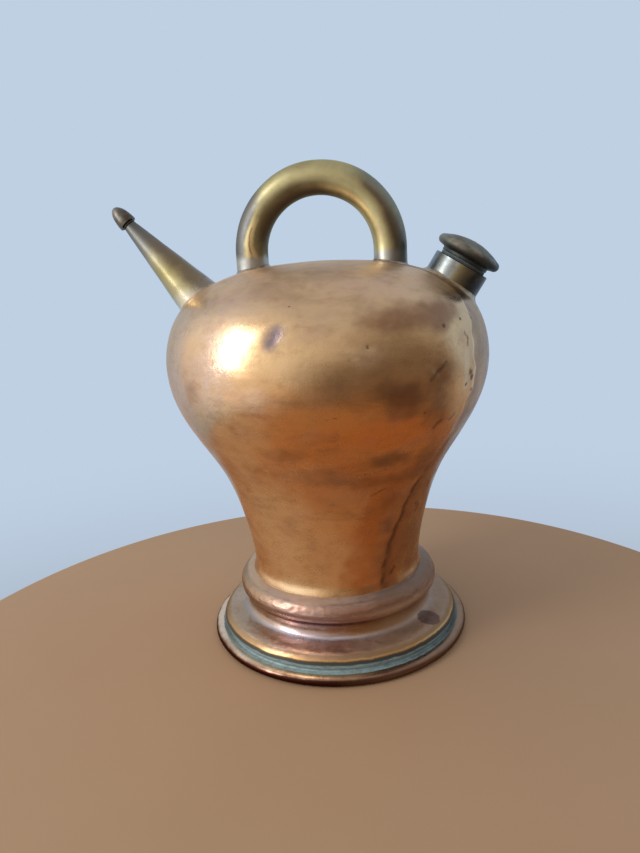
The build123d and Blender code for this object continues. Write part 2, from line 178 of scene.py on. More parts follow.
def section_of(node, placing):
    """Points (radius, height) of a turned CAD node where x = 0 and y > 0, counter-clockwise."""
    solid = bmesh.new()
    solid.from_mesh(frame["nodes"][node].data)
    solid.transform(placing.inverted())
    bmesh.ops.remove_doubles(solid, verts=solid.verts, dist=1e-6)
    everything = [*solid.verts, *solid.edges, *solid.faces]
    cut = bmesh.ops.bisect_plane(solid, geom=everything, plane_co=(0, 0, 0), plane_no=(1, 0, 0))
    links = {}
    for item in cut["geom_cut"]:
        if isinstance(item, bmesh.types.BMEdge) and min(v.co.y for v in item.verts) > -1e-6:
            a, b = item.verts
            links.setdefault(a, []).append(b)
            links.setdefault(b, []).append(a)
    here = min(links, key=lambda v: (len(links[v]), v.co.z))
    walked = [here]
    seen = {here}
    while True:
        ahead = [v for v in links[here] if v not in seen]
        if not ahead:
            break
        here = ahead[0]
        walked.append(here)
        seen.add(here)
    points = np.array([(math.hypot(v.co.x, v.co.y), v.co.z) for v in walked])
    solid.free()
    apart = np.linalg.norm(np.diff(points, axis=0, append=points[:1]), axis=1) > SAME_POINT * MM
    loop = points[apart]
    r, z = loop.T
    area = np.sum(r * np.roll(z, -1) - np.roll(r, -1) * z)
    return loop if area > 0 else loop[::-1]


def lengths_along(points):
    """How far along a line each of its points lies."""
    return np.r_[0, np.cumsum(np.linalg.norm(np.diff(points, axis=0), axis=1))]


def smooth_run(points, spacing):
    """Evenly spaced points on a cubic through one run of an outline, both ends included."""
    steps = lengths_along(points)
    slopes = np.gradient(points, steps, axis=0)
    count = max(1, round(steps[-1] / spacing))
    at = np.linspace(0, steps[-1], count + 1)
    k = np.clip(np.searchsorted(steps, at, side="right") - 1, 0, len(points) - 2)
    span = (steps[k + 1] - steps[k])[:, None]
    u = (at - steps[k])[:, None] / span
    return (
        (1 + 2 * u) * (1 - u) ** 2 * points[k]
        + u * (1 - u) ** 2 * span * slopes[k]
        + u**2 * (3 - 2 * u) * points[k + 1]
        + u**2 * (u - 1) * span * slopes[k + 1]
    )


def smooth_line(points, spacing, corner=30.0, edge=0.0):
    """An open outline resampled smoothly between its sharp corners, which may be rounded off by edge."""
    keep = [0]
    for i in range(1, len(points) - 1):
        before, after = points[i] - points[i - 1], points[i + 1] - points[i]
        turn = math.degrees(abs(math.atan2(before[0] * after[1] - before[1] * after[0], before @ after)))
        if turn > corner:
            keep.append(i)
    keep.append(len(points) - 1)
    runs = [points[a : b + 1] for a, b in zip(keep, keep[1:])]
    out = []
    for number, run in enumerate(runs):
        line = smooth_run(run, spacing)
        if edge:
            steps = lengths_along(line)
            low = edge if number else 0.0
            high = steps[-1] - (edge if number < len(runs) - 1 else 0.0)
            if high - low > spacing / 2:
                at = np.linspace(low, high, max(1, round((high - low) / spacing)) + 1)
            else:
                at = np.array([steps[-1] / 2])
            line = np.c_[np.interp(at, steps, line[:, 0]), np.interp(at, steps, line[:, 1])]
        elif number:
            line = line[1:]
        out.append(line)
    return np.concatenate(out)


# ---------------------------------------------------------------- mesh helpers
def grid_object(name, grid, close_rows=False):
    """A mesh object from a (rows, columns, 3) array. Columns always close into a ring."""
    rows, columns = grid.shape[:2]
    index = np.arange(rows * columns).reshape(rows, columns)
    index = np.c_[index, index[:, :1]]
    if close_rows:
        index = np.r_[index, index[:1]]
    quads = np.stack([index[:-1, :-1], index[:-1, 1:], index[1:, 1:], index[1:, :-1]], axis=-1)
    mesh = bpy.data.meshes.new(name)
    mesh.from_pydata(grid.reshape(-1, 3).tolist(), [], quads.reshape(-1, 4).tolist())
    mesh.update()
    made = bpy.data.objects.new(name, mesh)
    bpy.context.scene.collection.objects.link(made)
    mesh.shade_smooth()
    return made


def tidy_mesh(made, act):
    """Runs act on an object's bmesh and writes it back."""
    shell = bmesh.new()
    shell.from_mesh(made.data)
    act(shell)
    shell.to_mesh(made.data)
    shell.free()
    made.data.update()


def weld(made, distance=0.01):
    tidy_mesh(made, lambda b: bmesh.ops.remove_doubles(b, verts=b.verts, dist=distance * MM))


def thicken(made, thickness):
    solid = made.modifiers.new("sheet", "SOLIDIFY")
    solid.thickness = thickness * MM
    solid.offset = -1


def mark(made, name, values):
    """A named value for each point, which materials read."""
    layer = made.data.attributes.new(name, "FLOAT", "POINT")
    layer.data.foreach_set("value", np.ascontiguousarray(values, dtype=np.float32).ravel())


def field(points, size, shift, act):
    """A value at each point, from act on its place in units of size mm, shifted."""
    flat = points.reshape(-1, 3) * (1 / (size * MM))
    values = [act(Vector(p) + shift) for p in flat.tolist()]
    return np.array(values).reshape(points.shape[:-1])


def clouds(points, size, seed):
    """Smooth noise, about -1 to 1, whose lumps are about size mm across."""
    return field(points, size, Vector((seed * 17.31, seed * -9.17, seed * 5.73)), noise.noise)


def cells(points, size, seed):
    """Distance to the nearest of scattered points, in cell sizes."""
    shift = Vector((seed * 3.7, seed * 11.3, seed * -7.9))
    return field(points, size, shift, lambda p: noise.voronoi(p)[0][0])


def hollows(points, *layers):
    """Shallow hollows of hand-worked sheet in mm, from layers of (size, seed, depth). Always inwards."""
    return -sum((clouds(points, size, seed) + 1) / 2 * depth for size, seed, depth in layers)


def bump_at(distance, width):
    return np.exp(-((distance / width) ** 2))


def normals_of(line):
    """Outward normals of an outline that runs upwards on its outer side."""
    along = np.gradient(line, axis=0)
    along /= np.maximum(np.linalg.norm(along, axis=1), 1e-12)[:, None]
    return np.c_[along[:, 1], -along[:, 0]]


def polar(radius, height, angle):
    """Local points from a radius, a height and an angle about the local axis."""
    return np.stack([radius * np.cos(angle), radius * np.sin(angle), height + 0 * angle], axis=-1)


def placed(local, placing):
    return local @ np.array(placing.to_3x3()).T + np.array(placing.translation)


def from_axis(points):
    """Distance from the upright axis."""
    return np.hypot(points[..., 0], points[..., 1])


def turned(line, azimuths, placing=UPRIGHT, twist=0.0, relief=None):
    """Points of an outline turned about an axis, pushed along their normals by relief in mm."""
    angle = np.asarray(azimuths)[None, :] + np.asarray(twist).reshape(-1, 1) * np.ones((len(line), 1))
    points = polar(line[:, :1], line[:, 1:], angle)
    if relief is not None:
        facing = normals_of(line)
        out = polar(facing[:, :1], facing[:, 1:], angle)
        points = points + out * (relief(points, angle) * MM)[..., None]
    return placed(points, placing)


def ring(steps):
    return np.arange(steps) * TURN / steps


def wrapped(angle):
    return (angle + math.pi) % TURN - math.pi


def fade(value, low, high):
    """0 at low, 1 at high, smoothly."""
    share = np.clip((value - low) / (high - low), 0, 1)
    return share * share * (3 - 2 * share)


# ---------------------------------------------------------------- outlines read from the frame
def outer_run(loop):
    """The outer side of a closed section, from its lowest outer corner up to its highest point."""
    low = loop[:, 1].min()
    near = np.where(loop[:, 1] < low + LOWEST_BAND * MM)[0]
    start = near[np.argmax(loop[near, 0])]
    loop = np.roll(loop, -start, axis=0)
    return loop[: np.argmax(loop[:, 1]) + 1]


body_line = smooth_line(outer_run(section_of("body_shell", UPRIGHT)), SKIN_SPACING * MM)
crown_loop = section_of("crown_disc", UPRIGHT)
crown_start = np.argmax(crown_loop[:, 0] + crown_loop[:, 1])
crown_loop = np.roll(crown_loop, -crown_start, axis=0)
crown_line = smooth_line(crown_loop[: np.argmin(crown_loop[:, 0] - crown_loop[:, 1]) + 1], CROWN_SPACING * MM)
skin_line = np.concatenate([body_line, crown_line])
skin_top = skin_line[:, 1].max()


def sunk(line, depths):
    """Points of a line moved inwards along its normals by depths in mm."""
    return line - normals_of(line) * np.array(depths)[:, None] * MM


# At the joint each sheet runs on for two rows under the other, so the skin looks continuous.
LAP_DEPTHS = [0.0, 0.05, 0.25]
body_skin_line = np.concatenate([body_line, sunk(crown_line[:3], LAP_DEPTHS)[1:]])
crown_skin_line = np.concatenate([sunk(body_line[-3:], LAP_DEPTHS[::-1])[:-1], crown_line])


def outside(points):
    """How far points stand outside the vessel's skin, measured from the upright axis."""
    away = from_axis(points)
    at = np.interp(points[..., 2], skin_line[:, 1], skin_line[:, 0])
    return away - np.where(points[..., 2] > skin_top, -away - MM, at)


def on_skin(azimuth, height):
    """A point of the vessel's skin in metres."""
    away = float(np.interp(height * MM, skin_line[:, 1], skin_line[:, 0]))
    a = math.radians(azimuth)
    return np.array([away * math.cos(a), away * math.sin(a), height * MM])


def meet_skin(surface, angle, inner, outer):
    """For each angle, the step between inner and outer at which a surface comes out of the skin."""
    inner = np.full(angle.shape, inner)
    outer = np.full(angle.shape, outer)
    for _ in range(HALVINGS):
        middle = (inner + outer) / 2
        out = outside(surface(middle, angle)) > 0
        outer = np.where(out, middle, outer)
        inner = np.where(out, inner, middle)
    return outer


def reach_skin(points, direction, far):
    """Points moved along a direction, by up to far, until they meet the skin."""

    def moved(distance, _):
        return points + direction * distance[..., None]

    still = np.zeros(points.shape[:-1])
    return moved(meet_skin(moved, still, far, 0.0), still)


# ---------------------------------------------------------------- body
seam_angle = np.radians([a for a, _ in SEAM])[::-1]
seam_height = np.array([h for _, h in SEAM])[::-1] * MM


def seam_at(height):
    """The seam's azimuth at a height. It wanders a little from its straight runs."""
    level = np.asarray(height) / MM
    wander = 0.4 * np.sin(level / 4.1) + 0.45 * np.sin(level / 1.9 + 1.0)
    return np.interp(height, seam_height, seam_angle) + np.radians(wander)


def skin_relief(points, angle):
    """Waves and planishing marks of the hand-raised sheet. Always inwards."""
    marks = np.clip(cells(points, PLANISH_SIZE, 3), 0, 0.8) ** 2
    waves = hollows(points, (55, 1, WAVE_DEPTH), (17, 2, RIPPLE_DEPTH))
    return waves - (0.64 - marks) * PLANISH_DEPTH / 0.64


def round_body(points, angle, azimuth):
    """Distance in mm, measured round the body, from an azimuth to points."""
    return wrapped(angle - azimuth) * from_axis(points) / MM


def beside_seam(points, angle):
    """Distance to the right of the seam in mm."""
    return round_body(points, angle, seam_at(points[..., 2]))


def body_relief(points, angle):
    depth = skin_relief(points, angle)
    height = points[..., 2]
    for azimuth, level, wide, tall, lean, deep in DENTS:
        sideways = round_body(points, angle, math.radians(azimuth))
        upwards = (height / MM - level) * 1.1
        c, s = math.cos(math.radians(lean)), math.sin(math.radians(lean))
        u = (sideways * c - upwards * s) / wide
        v = (sideways * s + upwards * c) / tall
        depth = depth - deep * np.exp(-((u**2 + v**2) ** 1.5))
    depth = depth + NECK_FLARE * (1 - fade(height / MM, 38.5, 49.0)) ** 2
    sideways = beside_seam(points, angle)
    low_down = 1 - fade(height / MM, SEAM_TOP - 6, SEAM_TOP)
    uneven = 0.7 + 0.8 * clouds(points, 7, 6)
    groove = np.clip(bump_at(sideways + 0.5 * clouds(points, 4, 5), SEAM_HALF_WIDTH) * uneven, 0, 1.3)
    depth = depth - SEAM_DEPTH * groove * low_down * (1 - 0.6 * fade(height / MM, 100, 125))
    return depth - (0.12 * bump_at(sideways - 3.2, 2.4) + 0.1 * bump_at(sideways + 5.5, 3.0)) * low_down


fine = [0.22, 0.48, 0.8, 1.2, 1.75, 2.5, 3.5, 4.8]
coarse = np.linspace(6.3, 353.7, 236)
seam_columns = np.radians(np.r_[0.0, fine, coarse, [360 - f for f in reversed(fine)]])


def patch_field(points, patches, seed):
    """0 to 1: soft patches of tarnish and of painted light, with wandering edges."""
    angle = np.arctan2(points[..., 1], points[..., 0])
    wander = 1 + 0.55 * clouds(points, 14, seed) + 0.35 * clouds(points, 5, seed + 1)
    bare = np.ones(angle.shape)
    for azimuth, level, wide, tall, share in patches:
        u = round_body(points, angle, math.radians(azimuth)) / wide
        v = (points[..., 2] / MM - level) / tall
        spread = (u**2 + v**2) * wander
        bare = bare * (1 - share * np.exp(-(spread**1.4)))
    return np.clip(1 - bare, 0, 1)


def mark_tarnish_and_painted_light(made):
    """Marks the patches of tarnish and of painted light, and the distance from the seam, on a piece of the
    vessel's skin.
    """
    points = np.array([v.co for v in made.data.vertices])
    angle = np.arctan2(points[:, 1], points[:, 0])
    sideways = beside_seam(points, angle)
    for name, (seed, patches) in PATCHES.items():
        mark(made, name, patch_field(points, patches, seed))
    mark(made, "off_seam", np.minimum(np.abs(sideways), 40))
    mark(made, "left_of_seam", fade(-sideways, -1, 2) * (1 - fade(-sideways, 9, 14)))
    mark(made, "right_of_seam", fade(sideways, -0.3, 1.8) * (1 - fade(sideways, 34, 50)))


body_twist = seam_at(body_skin_line[:, 1])
body = grid_object("copper_body", turned(body_skin_line, seam_columns, twist=body_twist, relief=body_relief))
mark_tarnish_and_painted_light(body)


def open_hole(made, placing, radius, half_length):
    """Removes the faces inside a round passage and rounds the edge that is left onto it."""
    into = placing.inverted()

    def act(shell):
        def inside(point):
            local = into @ point
            return math.hypot(local.x, local.y) < radius and abs(local.z) < half_length

        gone = [f for f in shell.faces if inside(f.calc_center_median())]
        bmesh.ops.delete(shell, geom=gone, context="FACES")
        for v in shell.verts:
            if v.is_boundary:
                local = into @ v.co
                away = math.hypot(local.x, local.y)
                if away < radius * 1.3 and abs(local.z) < half_length:
                    v.co = placing @ Vector((local.x * radius / away, local.y * radius / away, local.z))

    tidy_mesh(made, act)


COLLAR_RADIUS = section_of("filler_collar", FILLER)[:, 0].max()
open_hole(body, FILLER, COLLAR_RADIUS - FILLER_HOLE_MARGIN * MM, FILLER_HOLE_REACH * MM)
cone_loop = section_of("spout_cone", SPOUT)
cone_top = cone_loop[np.isclose(cone_loop[:, 1], 0, atol=1e-6)][:, 0].max()
cone_low = cone_loop[np.argmax(cone_loop[:, 0])]
cone_slope = (cone_low[0] - cone_top) / -cone_low[1]
spout_foot = Matrix(SPOUT)
spout_foot.translation = SPOUT @ Vector((0, 0, -SPOUT_HOLE_DEPTH * MM))
open_hole(body, spout_foot, SPOUT_HOLE_RADIUS * MM, SPOUT_HOLE_REACH * MM)
thicken(body, SHEET)

crown = grid_object("crown_disc_skin", turned(crown_skin_line, ring(180), relief=skin_relief))
weld(crown)
mark_tarnish_and_painted_light(crown)
thicken(crown, SHEET)

# ---------------------------------------------------------------- foot
foot_loop = section_of("foot_shell", UPRIGHT)
foot_start = np.argmax(foot_loop[:, 1] * 3 + foot_loop[:, 0])
foot_loop = np.roll(foot_loop, -foot_start, axis=0)
foot_line = smooth_line(np.r_[foot_loop, foot_loop[:1]], FOOT_SPACING * MM)[:-1]
# hammered rings: (radius, height, reach)
HAMMERED = [(60.5, 34.6, 2.4), (66.5, 15.2, 3.4)]


def foot_relief(points, angle):
    """Hammered rings, a slightly wavy flange and worn steps. Always inwards."""
    height = points[..., 2] / MM
    away = from_axis(points) / MM
    depth = hollows(points, (26, 11, 0.22), (8, 12, 0.12))
    facets = np.clip(cells(points * (1, 1, 1.8), 4.2, 13) / 0.55, 0, 1) ** 2
    rough = 0.3 + 0.7 * np.clip(0.6 + 1.6 * clouds(points, 24, 14), 0, 1)
    for ring_radius, ring_height, reach in HAMMERED:
        near = bump_at(np.hypot(away - ring_radius, height - ring_height), reach)
        depth = depth - near * rough * HAMMER_DEPTH * (1 - facets)
    return depth


foot = grid_object("copper_foot", turned(foot_line, ring(300), relief=foot_relief), close_rows=True)

# ---------------------------------------------------------------- hoop handle
hoop_low, hoop_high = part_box("handle_hoop")
HOOP_TUBE = (hoop_high.y - hoop_low.y) / 2
HOOP_CENTRE_X = (hoop_high.x + hoop_low.x) / 2
HOOP_RADIUS = (hoop_high.x - hoop_low.x) / 2 - HOOP_TUBE
HOOP_CENTRE_Z = hoop_high.z - HOOP_TUBE - HOOP_RADIUS
HOOP_STEPS = 150
TUBE_STEPS = 64
LEG_ROWS = 10
# the direction whose facing sides of the hoop get painted shade
SHADED_SIDE = (0.55, 0.0, -0.835)


def hoop_points():
    """Rows from the left leg over the bend to the right leg. The leg ends follow the crown."""
    bend = np.linspace(math.pi, 0, HOOP_STEPS)
    centres = np.c_[HOOP_CENTRE_X + HOOP_RADIUS * np.cos(bend), HOOP_CENTRE_Z + HOOP_RADIUS * np.sin(bend)]
    legs = np.linspace(skin_top - 6 * MM, HOOP_CENTRE_Z, LEG_ROWS, endpoint=False)
    left = np.c_[np.full(LEG_ROWS, HOOP_CENTRE_X - HOOP_RADIUS), legs]
    right = np.c_[np.full(LEG_ROWS, HOOP_CENTRE_X + HOOP_RADIUS), legs[::-1]]
    centres = np.concatenate([left, centres, right])
    leans = np.r_[np.full(LEG_ROWS, math.pi), bend, np.zeros(LEG_ROWS)]
    around = ring(TUBE_STEPS)[::-1]
    side = np.stack([np.cos(leans), np.sin(leans)], axis=1)
    across = np.cos(around)[None, :]
    level = np.sin(around)[None, :] + 0 * centres[:, :1]
    out = np.stack([across * side[:, :1], level, across * side[:, 1:]], axis=-1)
    middle = np.stack([centres[:, 0], 0 * centres[:, 0], centres[:, 1]], axis=-1)[:, None]
    points = middle + HOOP_TUBE * out
    points = points + out * (hollows(points, (22, 21, 0.35), (7, 22, 0.1)) * MM)[..., None]
    for rows in (slice(0, 3), slice(-3, None)):
        end = points[rows]
        skin_z = np.interp(-from_axis(end), -skin_line[:, 0], skin_line[:, 1])
        end[..., 2] = np.where(outside(end) < -LEG_SINK * MM, skin_z - LEG_SINK * MM, end[..., 2])
    return points, out @ np.array(SHADED_SIDE)


hoop_grid, hoop_shade = hoop_points()
hoop = grid_object("brass_hoop", hoop_grid)
mark(hoop, "shaded", hoop_shade)
thicken(hoop, HOOP_WALL)

# ---------------------------------------------------------------- spout
CONE_COLUMNS = 84
CONE_ROWS = 90


def cone_points(height, angle):
    """Points of the cone's outside at heights on the spout's axis."""
    return placed(polar(cone_top - height * cone_slope, height, angle), SPOUT)


def spout_relief(points, height, angle):
    seam_side = wrapped(angle - math.radians(100)) * (cone_top - height * cone_slope) / MM
    seam = 0.25 * bump_at(seam_side + 0.3 * clouds(points, 5, 33), 0.5)
    return hollows(points, (14, 31, 0.24), (5, 32, 0.08)) - seam


cone_angles = ring(CONE_COLUMNS)
cone_root = meet_skin(cone_points, cone_angles, -75 * MM, -20 * MM)
cone_rows = np.linspace(1, 0, CONE_ROWS)[:, None]
cone_heights = cone_rows * (cone_root - 0.5 * MM)[None, :]
cone_turns = np.broadcast_to(cone_angles, cone_heights.shape)
cone_grid = cone_points(cone_heights, cone_turns)
cone_out = polar(1, cone_slope, cone_angles) @ np.array(SPOUT.to_3x3()).T
cone_depth = spout_relief(cone_grid, cone_heights, cone_turns) * MM
spout = grid_object("brass_spout", cone_grid + cone_out[None] * cone_depth[..., None])
mark(spout, "along", np.repeat(cone_rows, CONE_COLUMNS, axis=1))
mark(spout, "upper", np.cos(cone_turns + math.radians(25)))
thicken(spout, SHEET)


# ---------------------------------------------------------------- solder
def solder_ring(name, placing, surface, low, high, climb, spread, seed, columns=96):
    """A soft, uneven fillet between a post and the skin, as a closed ring. Its edges sink out of sight."""
    angle = ring(columns)
    corner_height = meet_skin(surface, angle, low, high)
    corner = surface(corner_height, angle)
    turn = np.array(placing.to_3x3())
    axis = turn[:, 2]
    top = surface(corner_height + climb * MM * (1 + 0.3 * clouds(corner, 6, seed)), angle)
    away = polar(1, 0, angle) @ turn.T
    top = top - away * 0.12 * MM
    reach = spread * MM * (1 + 0.35 * clouds(corner, 5, seed + 1))
    lifted = corner + away * reach[:, None] + axis * 12 * MM
    foot_point = reach_skin(lifted, np.broadcast_to(-axis, lifted.shape), 40 * MM) - axis * 0.45 * MM
    rows = []
    shares = np.linspace(0, 1, 9)
    for u in shares:
        bend = corner * 0.8 + (top + foot_point) * 0.1
        rows.append((1 - u) ** 2 * foot_point + 2 * u * (1 - u) * bend + u**2 * top)
    sink = 0.5 * MM
    rows.append(top - away * sink)
    rows.append(corner - away * sink - axis * sink)
    rows.append(foot_point - axis * sink)
    grid = np.stack(rows)
    lumps = clouds(grid, 3.2, seed + 2) * 0.12 * MM
    lumps[-3:] = 0
    grid = grid + (away[None] + axis) * lumps[..., None] * 0.7
    made = grid_object(name, grid, close_rows=True)
    mark(made, "climb", np.repeat(np.r_[shares, 1.0, 0.5, 0.0][:, None], columns, axis=1))
    return made


def leg_surface(x_centre):
    return lambda height, angle: polar(HOOP_TUBE, height, angle) + (x_centre, 0, 0)


def collar_surface(height, angle):
    return placed(polar(COLLAR_RADIUS, height, angle), FILLER)


left_leg = leg_surface(HOOP_CENTRE_X - HOOP_RADIUS)
right_leg = leg_surface(HOOP_CENTRE_X + HOOP_RADIUS)
leg_solder_left = solder_ring("solder_leg_left", UPRIGHT, left_leg, 0.2, 0.24, 0.9, 1.3, 41)
leg_solder_right = solder_ring("solder_leg_right", UPRIGHT, right_leg, 0.2, 0.24, 0.9, 1.3, 44)
spout_solder = solder_ring("solder_spout", SPOUT, cone_points, -0.075, -0.02, 1.0, 1.5, 47)
filler_solder = solder_ring("solder_filler", FILLER, collar_surface, -0.03, 0.0, 2.0, 3.6, 50)

NECK_FILLET_RISE = 3.2
NECK_FILLET_REACH = 4.4
NECK_LAP = 2.4
NECK_SINK = 0.3


def neck_fillet():
    """The hollow fillet from the neck's wall out to the foot's top, closed inside the sheets."""
    low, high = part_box("neck_solder")
    wall_height = high.z + (NECK_FILLET_RISE - NECK_LAP) * MM
    wall_radius = np.interp(wall_height, body_line[:, 1], body_line[:, 0])
    wall = np.array([wall_radius - NECK_SINK * MM, wall_height])
    foot_outer = foot_line[: len(foot_line) // 2]
    rim_radius = wall[0] + NECK_FILLET_REACH * MM
    on_ring = np.argmin(np.abs(foot_outer[:, 0] - rim_radius) - foot_outer[:, 1] * 0.3)
    rim = foot_outer[on_ring] - np.array([0, NECK_SINK * MM])
    bend = np.array([wall[0] + 0.5 * MM, rim[1] + 0.6 * MM])
    line = [(1 - u) ** 2 * rim + 2 * u * (1 - u) * bend + u**2 * wall for u in np.linspace(0, 1, 12)]
    line.append(wall - np.array([NECK_SINK, 0.4]) * MM)
    line.append((wall[0] - NECK_SINK * MM, low.z))
    line.append(rim - np.array([0.6, NECK_SINK]) * MM)
    return np.array(line)


def neck_relief(points, angle):
    return hollows(points, (5, 55, 0.22))


neck_grid = turned(neck_fillet(), ring(220), relief=neck_relief)
neck_solder = grid_object("solder_neck", neck_grid, close_rows=True)


# ---------------------------------------------------------------- stopper head
def turned_piece(name, node, placing, spacing, columns, edge, relief):
    """A solid CAD node's section turned again with softened edges and hand-worn relief."""
    loop = section_of(node, placing)
    on_axis = np.where(loop[:, 0] < 1e-5)[0]
    loop = np.roll(loop, -on_axis[np.argmin(loop[on_axis, 1])], axis=0)
    line = smooth_line(loop, spacing * MM, edge=edge * MM)
    made = grid_object(name, turned(line, ring(columns), placing, relief=relief))
    weld(made)
    return made


def head_relief(points, angle):
    return hollows(points, (9, 61, 0.26), (3, 62, 0.08))


head = turned_piece("stopper_head_worn", "stopper_head", FILLER, 0.5, 128, 0.25, head_relief)


# ---------------------------------------------------------------- materials
class Nodes:
    """Short calls for the nodes of a shader tree. Sizes and distances are in mm."""

    def __init__(self, tree, coordinates):
        self.tree = tree
        self.place = self.node("TexCoord").outputs[coordinates]

    def node(self, kind):
        return self.tree.nodes.new("ShaderNode" + kind)

    def put(self, value, socket):
        if isinstance(value, bpy.types.NodeSocket):
            self.tree.links.new(value, socket)
        else:
            socket.default_value = value

    def fill(self, made, values):
        for value, socket in zip(values, made.inputs):
            self.put(value, socket)

    def maths(self, operation, *values):
        made = self.node("Math")
        made.operation = operation
        self.fill(made, values)
        return made.outputs[0]

    def vectors(self, operation, *values):
        made = self.node("VectorMath")
        made.operation = operation
        self.fill(made, values)
        return made.outputs["Value" if operation in ("DISTANCE", "DOT_PRODUCT", "LENGTH") else "Vector"]

    def chained(self, operation, values):
        total = values[0]
        for value in values[1:]:
            total = self.maths(operation, total, value)
        return total

    def both(self, *shares):
        """The product of several shares."""
        return self.chained("MULTIPLY", shares)

    def most(self, *shares):
        """The largest of several shares."""
        return self.chained("MAXIMUM", shares)

    def plus(self, *values):
        return self.chained("ADD", values)

    def span(self, value, low, high, out_low=0.0, out_high=1.0):
        """A value from low to high carried to out_low to out_high, smoothly and clamped."""
        made = self.node("MapRange")
        made.interpolation_type = "SMOOTHSTEP"
        self.fill(made, (value, low, high, out_low, out_high))
        return made.outputs[0]

    def ramp(self, value, stops):
        """A colour from a list of (position, colour)."""
        made = self.node("ValToRGB")
        band = made.color_ramp
        while len(band.elements) < len(stops):
            band.elements.new(0.5)
        for element, (position, colour) in zip(band.elements, stops):
            element.position = position
            element.color = (*colour, 1.0)
        self.put(value, made.inputs[0])
        return made.outputs["Color"]

    def mix(self, share, first, second):
        made = self.node("Mix")
        made.data_type = "RGBA"
        self.put(share, made.inputs["Factor"])
        for value, socket in ((first, made.inputs[6]), (second, made.inputs[7])):
            self.put((*value, 1.0) if isinstance(value, tuple) else value, socket)
        return made.outputs[2]


